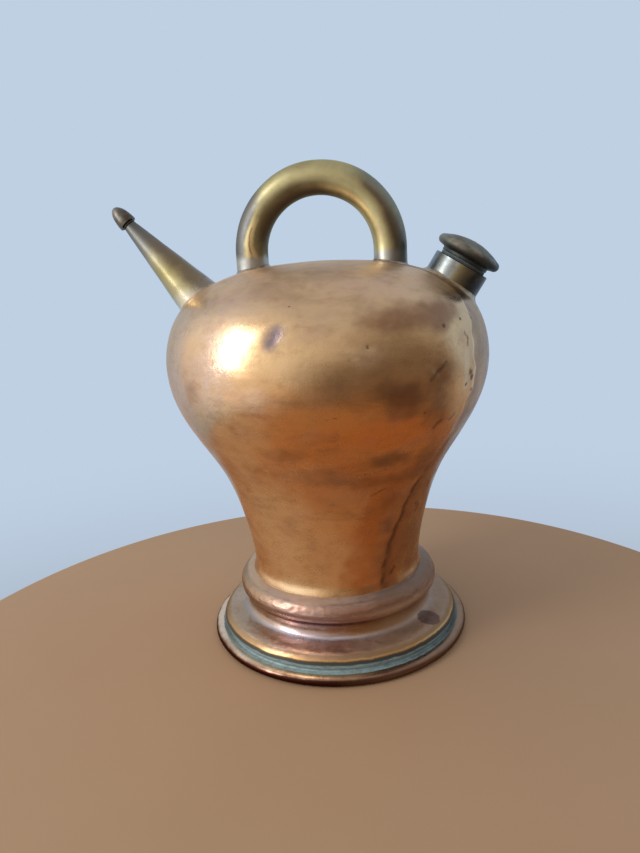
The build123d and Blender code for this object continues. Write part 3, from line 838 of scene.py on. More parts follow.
class Finish(Nodes):
    """A material being built: a Principled shader whose base colour is laid on in coats."""

    def __init__(self, name, metallic=1.0, edge=(1.0, 1.0, 1.0)):
        self.material = bpy.data.materials.new(name)
        self.material.use_nodes = True
        super().__init__(self.material.node_tree, "Object")
        self.shader = self.tree.nodes["Principled BSDF"]
        self.shader.inputs["Metallic"].default_value = metallic
        self.shader.inputs["Specular Tint"].default_value = (*edge, 1.0)
        self.frayed = None
        self.base = None

    def lay(self, colour, *shares):
        """Lays a colour over the base, as strongly as the product of the shares."""
        self.base = self.mix(self.both(*shares), self.base, colour)

    def done(self, roughness, *bumps):
        """Feeds the shader, with bump layers of (height, depth), and returns the material."""
        self.put(self.base, self.shader.inputs["Base Color"])
        self.put(roughness, self.shader.inputs["Roughness"])
        normal = None
        for value, depth in bumps:
            made = self.node("Bump")
            made.inputs["Strength"].default_value = 1.0
            made.inputs["Distance"].default_value = depth * MM
            self.put(value, made.inputs["Height"])
            if normal is not None:
                self.put(normal, made.inputs["Normal"])
            normal = made.outputs["Normal"]
        if normal is not None:
            self.put(normal, self.shader.inputs["Normal"])
        return self.material

    def metallic(self, value):
        self.put(value, self.shader.inputs["Metallic"])

    def scaled(self, scale):
        return self.vectors("MULTIPLY", self.place, scale)

    def texture(self, kind, size, stretch=(1, 1, 1)):
        """A texture node whose lumps or cells are about size across."""
        made = self.node(kind)
        self.put(self.scaled([s / (size * MM) for s in stretch]), made.inputs["Vector"])
        made.inputs["Scale"].default_value = 1.0
        return made

    def noise(self, size, detail=3.0, rough=0.55, stretch=(1, 1, 1), warp=0.0):
        """Noise from 0 to 1."""
        made = self.texture("TexNoise", size, stretch)
        made.inputs["Detail"].default_value = detail
        made.inputs["Roughness"].default_value = rough
        made.inputs["Distortion"].default_value = warp
        return made.outputs["Fac"]

    def wavy(self, value, amount, size, detail=3.0, stretch=(1, 1, 1)):
        """A value shifted by noise, by up to amount either way."""
        middle = self.maths("SUBTRACT", self.noise(size, detail, stretch=stretch), 0.5)
        return self.plus(value, self.maths("MULTIPLY", middle, 2 * amount))

    def patchy(self, size, low, high):
        """Roughness that wanders from low to high."""
        return self.span(self.noise(size, 4, 0.7), 0.3, 0.8, low, high)

    def spots(self, size, stretch=(1, 1, 1)):
        """Distance to scattered points, 0 at each."""
        return self.texture("TexVoronoi", size, stretch).outputs["Distance"]

    def cracks(self, size, width):
        """1 along thin lines between cells."""
        made = self.texture("TexVoronoi", size)
        made.feature = "DISTANCE_TO_EDGE"
        return self.span(made.outputs["Distance"], width / size, 0.0)

    def value_of(self, name):
        made = self.node("Attribute")
        made.attribute_name = name
        return made.outputs["Fac"]

    def along(self, point, axis):
        """Distance from a point, measured along an axis."""
        from_point = self.vectors("SUBTRACT", self.place, tuple(point))
        return self.vectors("DOT_PRODUCT", from_point, tuple(Vector(axis) / MM))

    def height(self):
        return self.along((0, 0, 0), (0, 0, 1))

    def rise(self, low, high, *out):
        """How far the height has gone from low to high."""
        return self.span(self.height(), low, high, *out)

    def towards(self, x, y):
        """Distance from the upright axis, measured along (x, y)."""
        return self.along((0, 0, 0), (x, y, 0))

    def local(self, placing, axis):
        """Distance from a placing's origin along its axis 0, 1 or 2."""
        return self.along(placing.translation, placing.to_3x3().col[axis])

    def radius(self):
        """Distance from the upright axis."""
        return self.vectors("LENGTH", self.scaled((1 / MM, 1 / MM, 0)))

    def hypot(self, sideways, upwards):
        """Length of two distances at right angles."""
        made = self.node("CombineXYZ")
        self.put(sideways, made.inputs["X"])
        self.put(upwards, made.inputs["Z"])
        return self.vectors("LENGTH", made.outputs["Vector"])

    def frayed_place(self):
        """The place, pushed about by up to a millimetre so that small marks get ragged outlines."""
        if self.frayed is None:
            push = self.texture("TexNoise", 2.2).outputs["Color"]
            push = self.vectors("SUBTRACT", push, (0.5, 0.5, 0.5))
            push = self.vectors("MULTIPLY", push, (3 * MM, 3 * MM, 2 * MM))
            self.frayed = self.vectors("ADD", self.place, push)
        return self.frayed

    def near(self, point, radius, soft):
        """1 inside a ragged ball about a point, 0 beyond its soft edge."""
        distance = self.vectors("DISTANCE", self.frayed_place(), tuple(point))
        return self.span(distance, (radius + soft) * MM, radius * MM)

    def scratch(self, start, end, width):
        """1 along a ragged line between two points."""
        along = np.array(end) - np.array(start)
        beside = self.vectors("SUBTRACT", self.frayed_place(), tuple(start))
        share = self.vectors("DOT_PRODUCT", beside, tuple(along / (along @ along)))
        share = self.maths("MINIMUM", self.maths("MAXIMUM", share, 0.0), 1.0)
        nearest = self.vectors("MULTIPLY", share, tuple(along))
        return self.span(self.vectors("DISTANCE", beside, nearest), 1.5 * width * MM, 0.0)


# the copper's colour up the body; the deeper orange low down is partly patina and partly a painted reflection
# of the table
COPPER_BY_HEIGHT = [  # (height, colour)
    (36, (0.92, 0.6, 0.3)), (50, (0.92, 0.54, 0.25)), (88, (0.9, 0.5, 0.23)), (112, (0.78, 0.42, 0.21)),
    (136, (0.86, 0.4, 0.14)), (156, (0.8, 0.4, 0.16)), (170, (0.66, 0.42, 0.22)),
    (190, (0.74, 0.53, 0.3)), (208, (0.76, 0.55, 0.35)), (226, (0.8, 0.6, 0.42)),
]
BROWN = (0.26, 0.13, 0.075)
RED_BROWN = (0.66, 0.255, 0.085)
PALE = (0.98, 0.75, 0.49)
ROSY = (0.72, 0.555, 0.47)
SEAM_BROWN = (0.2, 0.095, 0.05)
PIT_BROWN = (0.19, 0.075, 0.035)
SOOT = (0.1, 0.058, 0.042)
VIOLET = (0.21, 0.175, 0.235)


def copper_body_finish():
    f = Finish("copper_body", edge=(0.9, 0.8, 0.72))
    low, high = COPPER_BY_HEIGHT[0][0], COPPER_BY_HEIGHT[-1][0]
    level = f.wavy(f.height(), 10, 45)
    share = f.maths("DIVIDE", f.maths("SUBTRACT", level, low), high - low)
    f.base = f.ramp(share, [((h - low) / (high - low), colour) for h, colour in COPPER_BY_HEIGHT])
    # pale patches: on the front mostly painted highlight and painted reflection
    f.lay(PALE, f.value_of("pale"))
    # rosy patches: a painted pinkish sheen round the window highlight, rosy tone elsewhere
    f.lay(ROSY, f.value_of("rosy"), f.span(f.noise(9, 4, 0.6), 0.3, 0.62, 0.45, 1))
    smears = f.span(f.noise(30, 4, 0.6, (1, 1, 2.2), 0.5), 0.48, 0.76, 0, 0.34)
    red = f.wavy(f.value_of("red"), 0.25, 16, 4)
    orange = f.mix(f.rise(104, 132), RED_BROWN, (0.84, 0.33, 0.11))
    f.lay(orange, f.span(red, 0.05, 0.85, 0, 0.9))
    pink = f.span(f.noise(26, 4, 0.6, (1, 1, 1.6)), 0.5, 0.7, 0, 0.3)
    f.lay((0.56, 0.36, 0.31), pink)
    # brown patches: tarnish, partly a painted dark reflection on the shoulder's right and painted shade
    # beside the window highlight
    brown = f.wavy(f.value_of("brown"), 0.24, 8, 5, (1, 1, 1.6))
    brown = f.most(f.span(brown, 0.02, 0.85, 0, 0.85), smears)
    f.lay(BROWN, brown)
    mottle = f.span(f.noise(11, 5, 0.65, (1, 1, 1.6)), 0.5, 0.74, 0, 0.3)
    f.lay((0.36, 0.2, 0.11), mottle)
    high_up = f.rise(112, 145)
    # painted shade on the strip from the seam round to the right-hand silhouette, turning grey higher up as a
    # painted reflection of the wall
    right = f.both(f.value_of("right_of_seam"), f.span(f.noise(12, 4, 0.6), 0.3, 0.6, 0.6, 0.95))
    f.lay(f.mix(high_up, (0.36, 0.18, 0.1), (0.225, 0.175, 0.155)), right, 0.8)
    # painted highlight on a strip left of the seam, high up
    left = f.both(f.value_of("left_of_seam"), f.span(f.noise(3.6, 4, 0.7), 0.36, 0.62, 0.25, 0.9))
    f.lay((0.62, 0.47, 0.33), left, f.rise(150, 172, 0.2, 0.55))
    off = f.wavy(f.value_of("off_seam"), 1.5, 5, 4)
    broken = f.span(f.noise(6, 3), 0.34, 0.56, 0.3, 1)
    halo = f.both(f.span(off, 4.5, 0.6), f.rise(122, 100), 0.35)
    f.lay(BROWN, halo)
    # pale painted highlight along the seam's lip
    lip_highlight = f.both(f.span(off, 1.5, 0.1), f.rise(145, 165), f.rise(SEAM_TOP, 198), broken, 0.5)
    f.lay((0.86, 0.74, 0.6), lip_highlight)
    line = f.both(f.span(off, 2.3, 0.4), broken, f.rise(122, 100, 0, 0.85))
    pits = f.most(*[f.near(on_skin(a, h), size * 0.4, size * 1.1) for a, h, size in PITS])
    scratches = f.most(*[f.scratch(on_skin(*start), on_skin(*end), wide) for start, end, wide in SCRATCHES])
    specks = f.both(f.span(f.spots(9), 0.075, 0.02), f.span(f.noise(20, 2), 0.5, 0.62))
    bruise = f.scratch(*(on_skin(*end) for end in BRUISE), BRUISE_WIDTH)
    f.lay(VIOLET, bruise, 0.92)
    f.lay(SEAM_BROWN, line)
    dark = f.most(f.both(pits, 0.72), f.both(scratches, 0.62), f.both(specks, 0.55))
    f.lay(f.mix(high_up, PIT_BROWN, SOOT), dark)
    streaks = f.noise(7, 4, 0.7, (0.12, 0.12, 5))
    grain = f.noise(1.6, 3, 0.6)
    rough = f.plus(f.span(f.noise(14, 5, 0.7), 0.3, 0.75, 0.2, 0.34), f.rise(199, 212, 0, 0.19))
    rough = f.plus(rough, f.maths("MULTIPLY", f.maths("SUBTRACT", streaks, 0.5), 0.14))
    return f.done(
        f.plus(rough, f.maths("MULTIPLY", f.most(dark, line, f.both(brown, 0.4)), 0.25)),
        (grain, 0.012),
        (streaks, 0.016),
        (f.noise(4, 4, 0.6), 0.09),
        (f.both(f.most(dark, line), -1), 0.1),
        (f.both(f.noise(2.8, 4, 0.7), f.value_of("rosy")), 0.2),
    )


# up the foot's outer side: the near-black band under the bead (to 4.3 mm), the dark band under the flange's
# overhang (10 to 11.3 mm) and the dark band under the upper ring (25.5 to 32.4 mm) are painted shade, and the
# bead's bright top (5.5 to 6.2 mm) is a painted highlight
FOOT_BANDS = [  # (height, colour) up the foot's outer side
    (0, (0.05, 0.018, 0.014)), (4.3, (0.06, 0.02, 0.016)), (4.9, (0.4, 0.25, 0.17)),
    (5.5, (0.96, 0.76, 0.56)), (6.2, (0.88, 0.68, 0.55)), (6.8, (0.16, 0.25, 0.27)),
    (9.4, (0.16, 0.25, 0.27)), (10, (0.055, 0.072, 0.075)), (11.3, (0.065, 0.058, 0.05)),
    (12, (0.62, 0.37, 0.16)), (13.9, (0.62, 0.36, 0.16)), (14.5, (0.98, 0.74, 0.65)),
    (15.8, (0.98, 0.76, 0.69)), (16.3, (0.7, 0.68, 0.78)), (17.6, (0.56, 0.52, 0.6)),
    (18.5, (0.36, 0.145, 0.03)), (23, (0.36, 0.14, 0.028)), (25.5, (0.34, 0.12, 0.085)),
    (32.4, (0.3, 0.08, 0.068)), (34.2, (0.54, 0.28, 0.22)), (36.2, (0.54, 0.32, 0.25)),
    (38, (0.48, 0.42, 0.4)), (41, (0.52, 0.5, 0.48)),
]
# painted light where the foot faces the window: darker on the upper ring to dim its highlight, bluish below
# it
FRONT_LEFT = [  # (share of the foot's height, colour) where it faces the front left
    (0.39, (0.34, 0.24, 0.22)), (0.41, (0.5, 0.5, 0.62)), (0.66, (0.56, 0.54, 0.6)),
    (0.8, (0.6, 0.54, 0.54)), (0.84, (0.36, 0.25, 0.21)),
]
# painted shade: darker, browner colours where the foot faces the right, away from the window
RIGHT_SIDE = [  # the same, where it faces the right
    (0.38, (0.26, 0.17, 0.1)), (0.42, (0.36, 0.245, 0.165)), (0.6, (0.46, 0.31, 0.19)),
    (0.78, (0.5, 0.36, 0.27)), (0.84, (0.22, 0.12, 0.07)), (0.92, (0.2, 0.11, 0.065)),
    (0.96, (0.2, 0.14, 0.105)),
]
# verdigris: heights on the foot's low wall, radii on its flange
GREEN_BAND = (6.2, 11.4)
GREEN_FLANGE = (70, 74.8)


def copper_foot_finish():
    f = Finish("copper_foot", edge=(0.66, 0.53, 0.43))
    top = FOOT_BANDS[-1][0]
    level = f.wavy(f.height(), 0.7, 9, 4)
    f.base = f.ramp(f.maths("DIVIDE", level, top), [(h / top, colour) for h, colour in FOOT_BANDS])
    above = f.span(level, 12, 13)
    dull = f.both(f.span(f.noise(13, 4, 0.6, (1, 1, 2.2)), 0.48, 0.75, 0, 0.45), above)
    f.lay((0.3, 0.18, 0.13), dull, f.span(level, 17, 19, 0.35, 1))
    pale = f.both(f.span(f.noise(18, 4, 0.6, (1, 1, 2.4), 0.5), 0.52, 0.7, 0, 0.45), above)
    f.lay((0.6, 0.48, 0.4), pale, f.span(level, 24, 30, 0.2, 1))
    streaks = f.noise(7, 5, 0.7, (0.7, 0.7, 5), 0.3)
    f.lay((0.84, 0.62, 0.5), f.span(streaks, 0.54, 0.66, 0, 0.4), above)
    f.lay((0.24, 0.13, 0.11), f.span(streaks, 0.46, 0.36, 0, 0.4), above)
    low_ring = f.both(f.rise(13.9, 14.6), f.rise(16.6, 15.9))
    high_ring = f.both(f.rise(33, 34.2), f.rise(38.4, 36.8))
    hammered = f.both(f.most(low_ring, high_ring), f.span(f.noise(15, 3), 0.38, 0.6, 0.15, 1))
    flakes = f.both(f.span(f.noise(2.2, 4, 0.7, (1, 1, 2)), 0.52, 0.6), hammered)
    f.lay((0.8, 0.68, 0.58), flakes, 0.45)
    gaps = f.both(f.span(f.noise(1.7, 4, 0.7, (1, 1, 2.5)), 0.44, 0.38), hammered)
    f.lay((0.26, 0.15, 0.12), gaps, 0.35)
    # painted light on the side facing the window
    front_left = f.span(f.wavy(f.towards(-0.5, -0.87), 10, 14), 36, 54, 0, 0.5)
    f.lay(f.ramp(f.maths("DIVIDE", f.height(), top), FRONT_LEFT), front_left, above)
    # a warmer tan on the left side: a painted reflection tone
    left = f.span(f.wavy(f.towards(-1, -0.1), 10, 18), 24, 54, 0, 0.65)
    f.lay((0.48, 0.35, 0.21), left, above)
    # painted shade on the right side, darker still on the bead's rim there
    right = f.wavy(f.towards(0.94, -0.34), 10, 18)
    side_tan = f.both(f.span(right, 20, 50, 0, 0.85), above)
    f.lay(f.ramp(f.maths("DIVIDE", f.height(), top), RIGHT_SIDE), side_tan)
    rim_right = f.both(f.span(right, 30, 62, 0, 0.85), f.span(level, 6.8, 6.2))
    f.lay((0.22, 0.13, 0.09), rim_right)
    azimuth, away, level_of_spot = FOOT_SPOT
    turn = math.radians(azimuth)
    spot_at = np.array([away * math.cos(turn), away * math.sin(turn), level_of_spot]) * MM
    spot = f.both(f.near(spot_at, FOOT_SPOT_SIZE, 1.2), f.span(f.noise(3, 4, 0.7), 0.25, 0.42))
    f.lay((0.13, 0.075, 0.065), spot, 0.85)
    low, high = GREEN_BAND
    wall = f.both(
        f.span(level, low, low + 0.8), f.span(level, high + 0.6, high - 0.4), f.span(f.radius(), 66, 70)
    )
    inner, outer = GREEN_FLANGE
    ragged = f.wavy(f.radius(), 0.8, 5, 4)
    shelf = f.both(f.span(ragged, inner, inner + 1), f.span(ragged, outer + 0.5, outer - 0.3))
    shelf = f.both(shelf, f.rise(low + 0.6, low - 0.2), f.rise(4, 4.8))
    # verdigris is lighter where it faces the front than round the back: painted light on the real verdigris
    facing = f.span(f.towards(0.1, -1), 20, 66)
    green = f.most(wall, shelf)
    verdigris = f.mix(facing, (0.12, 0.185, 0.195), (0.36, 0.53, 0.6))
    verdigris = f.mix(
        f.span(f.noise(4, 4, 0.6, (1, 1, 4)), 0.4, 0.66, 0, 0.55), verdigris, (0.1, 0.15, 0.165)
    )
    wash = f.both(f.most(shelf, f.span(level, 10.2, 9)), green)
    f.lay(verdigris, wash, 0.92)
    # the ring's top and the painted-shade side at the right are made less metallic
    oxide_and_shaded_side = f.most(f.rise(37.4, 38.8), side_tan)
    f.metallic(f.span(f.most(green, f.both(oxide_and_shaded_side, 0.6)), 0, 1, 1, 0.2))
    rough = f.patchy(5, 0.24, 0.42)
    return f.done(
        f.plus(rough, f.maths("MULTIPLY", f.most(spot, green, oxide_and_shaded_side, f.both(hammered, 0.6)), 0.14)),
        (f.noise(1.8, 3, 0.6), 0.03),
        (f.noise(6, 3), 0.07),
        (f.both(f.spots(3.4, (1, 1, 1.6)), hammered), 0.18),
    )


def hoop_finish():
    f = Finish("hoop_brass", edge=(0.85, 0.8, 0.66))
    f.base = f.mix(f.span(f.noise(24, 4, 0.6, warp=0.3), 0.35, 0.7), (0.56, 0.53, 0.3), (0.42, 0.36, 0.21))
    sideways = f.along((HOOP_CENTRE_X, 0, 0), (1, 0, 0))
    upwards = f.along((0, 0, HOOP_CENTRE_Z), (0, 0, 1))
    shade = f.wavy(f.value_of("shaded"), 0.24, 18)
    left_leg = f.both(f.span(sideways, -26, -36), f.span(upwards, 26, 12))
    # painted highlight: a bright gold stripe down the left leg
    leg_highlight = f.both(left_leg, f.span(shade, -0.16, -0.05), f.span(shade, 0.28, 0.16))
    # painted shade on the sides that face down and to the right
    f.lay((0.095, 0.072, 0.058), f.span(shade, 0, 0.66, 0, 0.9))
    f.lay((0.98, 0.8, 0.44), leg_highlight, 0.9)
    rust = f.both(
        left_leg, f.span(shade, 0, 0.05), f.span(shade, 0.12, 0.07), f.span(f.noise(9, 2), 0.4, 0.55)
    )
    f.lay((0.2, 0.1, 0.05), rust, 0.6)
    # bluish grey on the left outer side, where the window's reflection falls: partly dull patina, partly a
    # painted dimmed reflection
    outer_left = f.both(f.span(shade, -0.04, -0.22), f.span(sideways, -26, -38))
    f.lay((0.155, 0.165, 0.185), outer_left, 0.9)
    # painted shade on the right outer side of the bend, with a painted grey reflection at the very rim
    out = f.wavy(f.hypot(sideways, upwards), 2.2, 12)
    band = f.both(
        f.span(out, 39.5, 43.5), f.span(sideways, 14, 30), f.span(f.noise(11, 3), 0.28, 0.55, 0.5, 1)
    )
    f.lay(f.mix(f.span(out, 43.5, 46.5), (0.15, 0.115, 0.085), (0.2, 0.215, 0.2)), band, 0.85)
    # painted shade on the right leg's outer side
    outer_right = f.both(f.span(sideways, 42, 48), f.span(upwards, 20, 2))
    f.lay((0.14, 0.16, 0.16), outer_right, 0.8)
    crown_height = skin_top / MM
    level = f.wavy(f.height(), 2.2, 6)
    # tin on the legs near the crown, darker on the right leg's outer side as painted shade
    tinned = f.span(level, crown_height + 5.5, crown_height + 1.5)
    f.lay(f.mix(f.span(sideways, 36, 46), (0.5, 0.53, 0.54), (0.25, 0.26, 0.27)), tinned, 0.9)
    rough = f.patchy(7, 0.31, 0.46)
    return f.done(
        f.plus(rough, f.both(outer_left, 0.16)), (f.noise(1.3, 3, 0.6), 0.014), (f.noise(5, 3), 0.05)
    )


# the whitish colour at the root (share 1) is a painted highlight
SPOUT_BANDS = [  # (share of the way down the spout, colour)
    (0, (0.14, 0.15, 0.15)), (0.25, (0.22, 0.225, 0.22)), (0.42, (0.36, 0.34, 0.24)),
    (0.6, (0.38, 0.335, 0.17)), (0.84, (0.47, 0.43, 0.26)), (1, (0.8, 0.77, 0.7)),
]


def spout_finish():
    f = Finish("spout_brass")
    along = f.wavy(f.value_of("along"), 0.09, 12)
    f.base = f.ramp(along, SPOUT_BANDS)
    upper = f.wavy(f.value_of("upper"), 0.4, 10)
    brown = f.both(f.span(upper, 0.55, 0.98), f.span(along, 0.12, 0.42))
    f.lay((0.19, 0.14, 0.11), brown, 0.75)
    under = f.both(f.span(upper, -0.62, -0.95), f.span(along, 0.75, 0.35))
    f.lay((0.17, 0.18, 0.16), under, 0.7)
    creases = f.both(f.cracks(7, 0.22), f.span(along, 0.78, 0.92), f.span(f.noise(6, 2), 0.45, 0.6))
    f.lay(SOOT, creases, 0.6)
    rough = f.patchy(6, 0.26, 0.4)
    return f.done(
        f.plus(rough, f.span(along, 0.62, 0.3, 0, 0.12)),
        (f.noise(1.2, 3, 0.6), 0.014),
        (f.noise(4, 3), 0.05),
    )


def cap_finish():
    f = Finish("cap_bronze")
    f.base = f.mix(f.span(f.noise(5, 4, 0.6), 0.35, 0.7), (0.165, 0.155, 0.14), (0.1, 0.085, 0.072))
    worn = f.span(f.local(SPOUT, 2), 8.5, 12.5, 0, 0.45)
    f.lay((0.34, 0.34, 0.34), worn)
    return f.done(f.patchy(3, 0.36, 0.52), (f.noise(0.9, 3, 0.6), 0.02), (f.noise(3, 3), 0.05))


def head_finish():
    f = Finish("stopper_bronze")
    f.base = f.mix(
        f.span(f.noise(9, 4, 0.6, warp=0.4), 0.38, 0.66), (0.185, 0.185, 0.15), (0.16, 0.14, 0.115)
    )
    level = f.wavy(f.local(FILLER, 2), 1.6, 7)
    # painted shade on the underside of the head
    f.lay((0.075, 0.08, 0.08), f.span(level, 8.4, 5.6))
    # painted light across the head: bluish painted shade towards the right side, lighter grey towards the
    # left
    low_side = f.local(FILLER, 0)
    f.lay((0.085, 0.13, 0.16), f.span(low_side, 2, 16, 0, 0.75))
    f.lay((0.3, 0.33, 0.31), f.span(low_side, -9, -17, 0, 0.6))
    # painted highlight round the head's rim
    edge = f.both(f.span(level, 7, 8.4), f.span(level, 10.6, 9), f.span(f.noise(6, 3), 0.45, 0.6))
    f.lay((0.42, 0.38, 0.32), edge, 0.5)
    return f.done(f.patchy(4, 0.48, 0.64), (f.noise(1.1, 3, 0.6), 0.02), (f.noise(4, 3), 0.06))


def collar_finish():
    f = Finish("collar_brass")
    sideways = f.wavy(f.local(FILLER, 0), 4, 8)
    reach = COLLAR_RADIUS / MM
    grey, olive, dark = (0.24, 0.27, 0.285), (0.37, 0.34, 0.19), (0.065, 0.075, 0.085)
    between, dull = (0.34, 0.34, 0.33), (0.25, 0.22, 0.15)
    # across the collar: a painted grey reflection on the left, the brass's olive in the middle, painted shade
    # on the right
    f.base = f.ramp(
        f.span(sideways, -reach, reach),
        [(0, grey), (0.28, grey), (0.36, between), (0.52, olive), (0.66, dull), (0.84, dark), (1, dark)],
    )
    f.lay((0.17, 0.15, 0.12), f.span(f.noise(5, 4, 0.6), 0.45, 0.75, 0, 0.5))
    return f.done(f.patchy(4, 0.28, 0.44), (f.noise(1.2, 3, 0.6), 0.015), (f.noise(4, 3), 0.05))


def plain_brass_finish(name, bright, dull):
    f = Finish(name)
    f.base = f.mix(f.span(f.noise(6, 4, 0.6), 0.35, 0.7), bright, dull)
    return f.done(f.patchy(3, 0.24, 0.4), (f.noise(1, 3, 0.6), 0.015))


def solder_finish(name, outer, inner):
    """Tin solder that runs out, over the climb of a fillet, from one tarnished colour to another."""
    f = Finish(name)
    climb = f.wavy(f.value_of("climb"), 0.35, 4, 4)
    f.base = f.mix(f.span(climb, 0.15, 0.85), outer, inner)
    f.lay((0.2, 0.15, 0.11), f.span(f.noise(3, 4), 0.45, 0.75, 0, 0.6))
    return f.done(f.span(f.noise(2, 3), 0.3, 0.7, 0.32, 0.5), (f.noise(1, 3), 0.05))


def neck_finish():
    f = Finish("neck_solder", edge=(0.62, 0.46, 0.34))
    low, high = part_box("neck_solder")
    level = f.wavy(f.height(), 0.9, 7, 4)
    f.base = f.mix(f.span(level, low.z / MM + 1.2, high.z / MM - 0.6), (0.38, 0.26, 0.18), (0.72, 0.44, 0.2))
    # painted highlight where the fillet faces the front left
    front_left = f.span(f.towards(-0.45, -0.89), 34, 50)
    f.lay((0.94, 0.7, 0.44), front_left)
    # painted shade on the right side
    right_side = f.span(f.wavy(f.towards(0.77, -0.64), 12, 16), 12, 50, 0, 0.5)
    f.lay((0.26, 0.18, 0.13), right_side)
    return f.done(f.span(f.noise(3, 3), 0.3, 0.7, 0.24, 0.4), (f.noise(1.4, 3), 0.05), (f.noise(5, 3), 0.08))


def leather_finish(name, shade):
    f = Finish(name, metallic=0)
    f.base = f.mix(f.noise(3, 4), shade, tuple(c * 2.4 for c in shade))
    return f.done(0.7, (f.spots(0.8), 0.05))


def iron_finish():
    f = Finish("iron_wire", metallic=0.9)
    f.base = f.mix(f.noise(5, 4), (0.1, 0.08, 0.07), (0.2, 0.11, 0.06))
    return f.done(f.span(f.noise(2, 3), 0.3, 0.7, 0.45, 0.7), (f.noise(1, 3), 0.04))


GREY_TIN = (0.4, 0.4, 0.38)
COPPER_TOP = (0.56, 0.41, 0.29)
body_copper = copper_body_finish()
foot_copper = copper_foot_finish()
plain_brass = plain_brass_finish("plain_brass", (0.48, 0.38, 0.18), (0.26, 0.2, 0.1))
dark_brass = plain_brass_finish("dark_brass", (0.1, 0.08, 0.055), (0.05, 0.042, 0.035))
tinned = solder_finish("tin_solder", GREY_TIN, GREY_TIN)
leg_solder = solder_finish("leg_solder", COPPER_TOP, (0.3, 0.3, 0.29))
spout_tin = solder_finish("spout_tin", (0.6, 0.43, 0.32), (0.5, 0.4, 0.29))
filler_tin = solder_finish("filler_tin", COPPER_TOP, (0.42, 0.37, 0.26))

# ---------------------------------------------------------------- pieces into the frame
placings = [
    (body, "body_shell", "can", "copper", body_copper),
    (crown, "crown_disc", "can", "copper", body_copper),
    (foot, "foot_shell", "can", "foot_copper", foot_copper),
    (hoop, "handle_hoop", "can", "brass", hoop_finish()),
    (spout, "spout_cone", "can", "brass", spout_finish()),
    (leg_solder_left, "handle_solder_left", "can", "solder", leg_solder),
    (leg_solder_right, "handle_solder_right", "can", "solder", leg_solder),
    (spout_solder, "spout_solder", "can", "solder", spout_tin),
    (filler_solder, "filler_solder", "can", "solder", filler_tin),
    (neck_solder, "neck_solder", "can", "solder", neck_finish()),
    (head, "stopper_head", "stopper", "dark_brass", head_finish()),
]
for piece, node, carrier, slot_name, material in placings:
    piece.data.materials.append(material)
    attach(piece, carrier)
    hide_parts(node)

cad_finishes = {
    "crown_braze": tinned,
    "rim_wire": iron_finish(),
    "bottom_plate": foot_copper,
    "bottom_solder": tinned,
    "spout_nipple": dark_brass,
    "spout_cap": cap_finish(),
    "cap_washer": leather_finish("cap_leather", (0.02, 0.014, 0.01)),
    "filler_collar": collar_finish(),
    "stopper_plug": plain_brass,
    "stopper_washer": leather_finish("stopper_leather", (0.048, 0.07, 0.082)),
}
for node, material in cad_finishes.items():
    cad = frame["nodes"][node]
    cad.data.materials.clear()
    cad.data.materials.append(material)

# ---------------------------------------------------------------- floor, world, light, camera
FLOOR_RADIUS = 270.0
FLOOR_CENTRE = (0.0, -73.0)
FLOOR_THICKNESS = 14.0
FLOOR_EDGE = 2.0

spin = Matrix.Rotation(math.radians(CAMERA_AZIMUTH), 4, "Z")
floor_line = np.array(
    [
        (0.0, -FLOOR_THICKNESS),
        (FLOOR_RADIUS - FLOOR_EDGE, -FLOOR_THICKNESS),
        (FLOOR_RADIUS, FLOOR_EDGE - FLOOR_THICKNESS),
        (FLOOR_RADIUS, -FLOOR_EDGE),
        (FLOOR_RADIUS - FLOOR_EDGE, 0.0),
        (0.0, 0.0),
    ]
)
floor_middle = spin @ Vector((FLOOR_CENTRE[0] * MM, FLOOR_CENTRE[1] * MM, 0))
floor = grid_object("floor", turned(floor_line * MM, ring(180), Matrix.Translation(floor_middle)))
weld(floor)
floor.data.shade_flat()


def floor_finish():
    f = Finish("floor_paper", metallic=0.0)
    f.base = f.mix(f.noise(120, 3), (0.42, 0.27, 0.16), (0.47, 0.31, 0.192))
    return f.done(0.75)


floor.data.materials.append(floor_finish())

world = bpy.data.worlds.new("soft_room")
bpy.context.scene.world = world
world.use_nodes = True
room = Nodes(world.node_tree, "Generated")


def lobe(direction, low, high):
    """From 0 to 1 as a ray turns towards a direction."""
    return room.span(room.vectors("DOT_PRODUCT", room.place, Vector(direction).normalized()), low, high)


def direction(azimuth, elevation):
    """A unit vector from the can: azimuth is turned from the camera's, positive to the camera's left."""
    a = math.radians(CAMERA_AZIMUTH - 90 - azimuth)
    e = math.radians(elevation)
    return Vector((math.cos(a) * math.cos(e), math.sin(a) * math.cos(e), math.sin(e)))


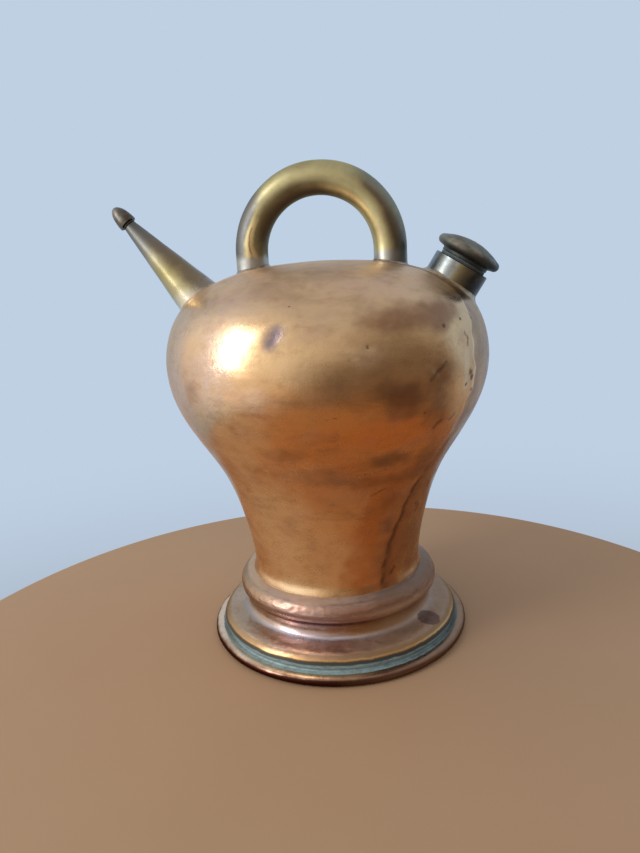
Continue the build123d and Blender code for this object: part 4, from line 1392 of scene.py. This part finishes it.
WALL = (0.52, 0.63, 0.77)
ROOM = (0.58, 0.49, 0.4)
CEILING = (0.57, 0.54, 0.52)
BRIGHT_SIDE = (1.0, 0.92, 0.82)
FURNITURE = (0.22, 0.165, 0.125)
GLOOM = (0.22, 0.175, 0.14)
DEEP = (0.12, 0.09, 0.07)
UP = (0, 0, 1)
tone = room.mix(lobe(direction(180, 0), -0.35, 0.25), ROOM, WALL)
tone = room.mix(lobe(UP, 0.45, 0.95), tone, CEILING)
tone = room.mix(lobe(direction(72, 12), 0.35, 0.95), tone, BRIGHT_SIDE)
tone = room.mix(lobe(direction(-48, 0), 0.62, 1.0), tone, GLOOM)
low_front = room.both(lobe(UP, 0.34, 0.03), lobe(direction(-38, 0), 0.3, 0.85))
tone = room.mix(low_front, tone, FURNITURE)
tone = room.mix(lobe((0, 0, -1), 0.25, 0.8), tone, DEEP)
background = world.node_tree.nodes["Background"]
room.put(tone, background.inputs["Color"])
background.inputs["Strength"].default_value = 1.0


def area_light(name, azimuth, elevation, distance, wide, tall, power, colour):
    lamp = bpy.data.lights.new(name, "AREA")
    lamp.shape = "RECTANGLE"
    lamp.size = wide
    lamp.size_y = tall
    lamp.energy = power
    lamp.color = colour
    made = bpy.data.objects.new(name, lamp)
    bpy.context.scene.collection.objects.link(made)
    away = direction(azimuth, elevation)
    made.location = Vector(LIGHT_TARGET) + away * distance
    made.rotation_mode = "QUATERNION"
    made.rotation_quaternion = away.to_track_quat("Z", "Y")


area_light("window", 65, 22, 1.2, 0.34, 0.8, 5.4, (1.0, 0.985, 0.96))

camera_data = bpy.data.cameras.new("camera")
camera_data.lens = LENS
camera_data.sensor_width = SENSOR
camera_data.clip_start = 0.01
camera = bpy.data.objects.new("camera", camera_data)
bpy.context.scene.collection.objects.link(camera)
bpy.context.scene.camera = camera
yaw, pitch, roll = (math.radians(v) for v in (CAMERA_YAW, CAMERA_PITCH, CAMERA_ROLL))
ahead = Vector((math.sin(yaw) * math.cos(pitch), math.cos(yaw) * math.cos(pitch), math.sin(pitch)))
level = Vector((math.cos(yaw), -math.sin(yaw), 0))
above = level.cross(ahead)
right = level * math.cos(roll) + above * math.sin(roll)
up = above * math.cos(roll) - level * math.sin(roll)
pose = Matrix((right, up, -ahead)).transposed().to_4x4()
pose.translation = (0, -CAMERA_OUT * MM, CAMERA_HEIGHT * MM)
camera.matrix_world = spin @ pose

bpy.context.scene.view_settings.view_transform = "Standard"
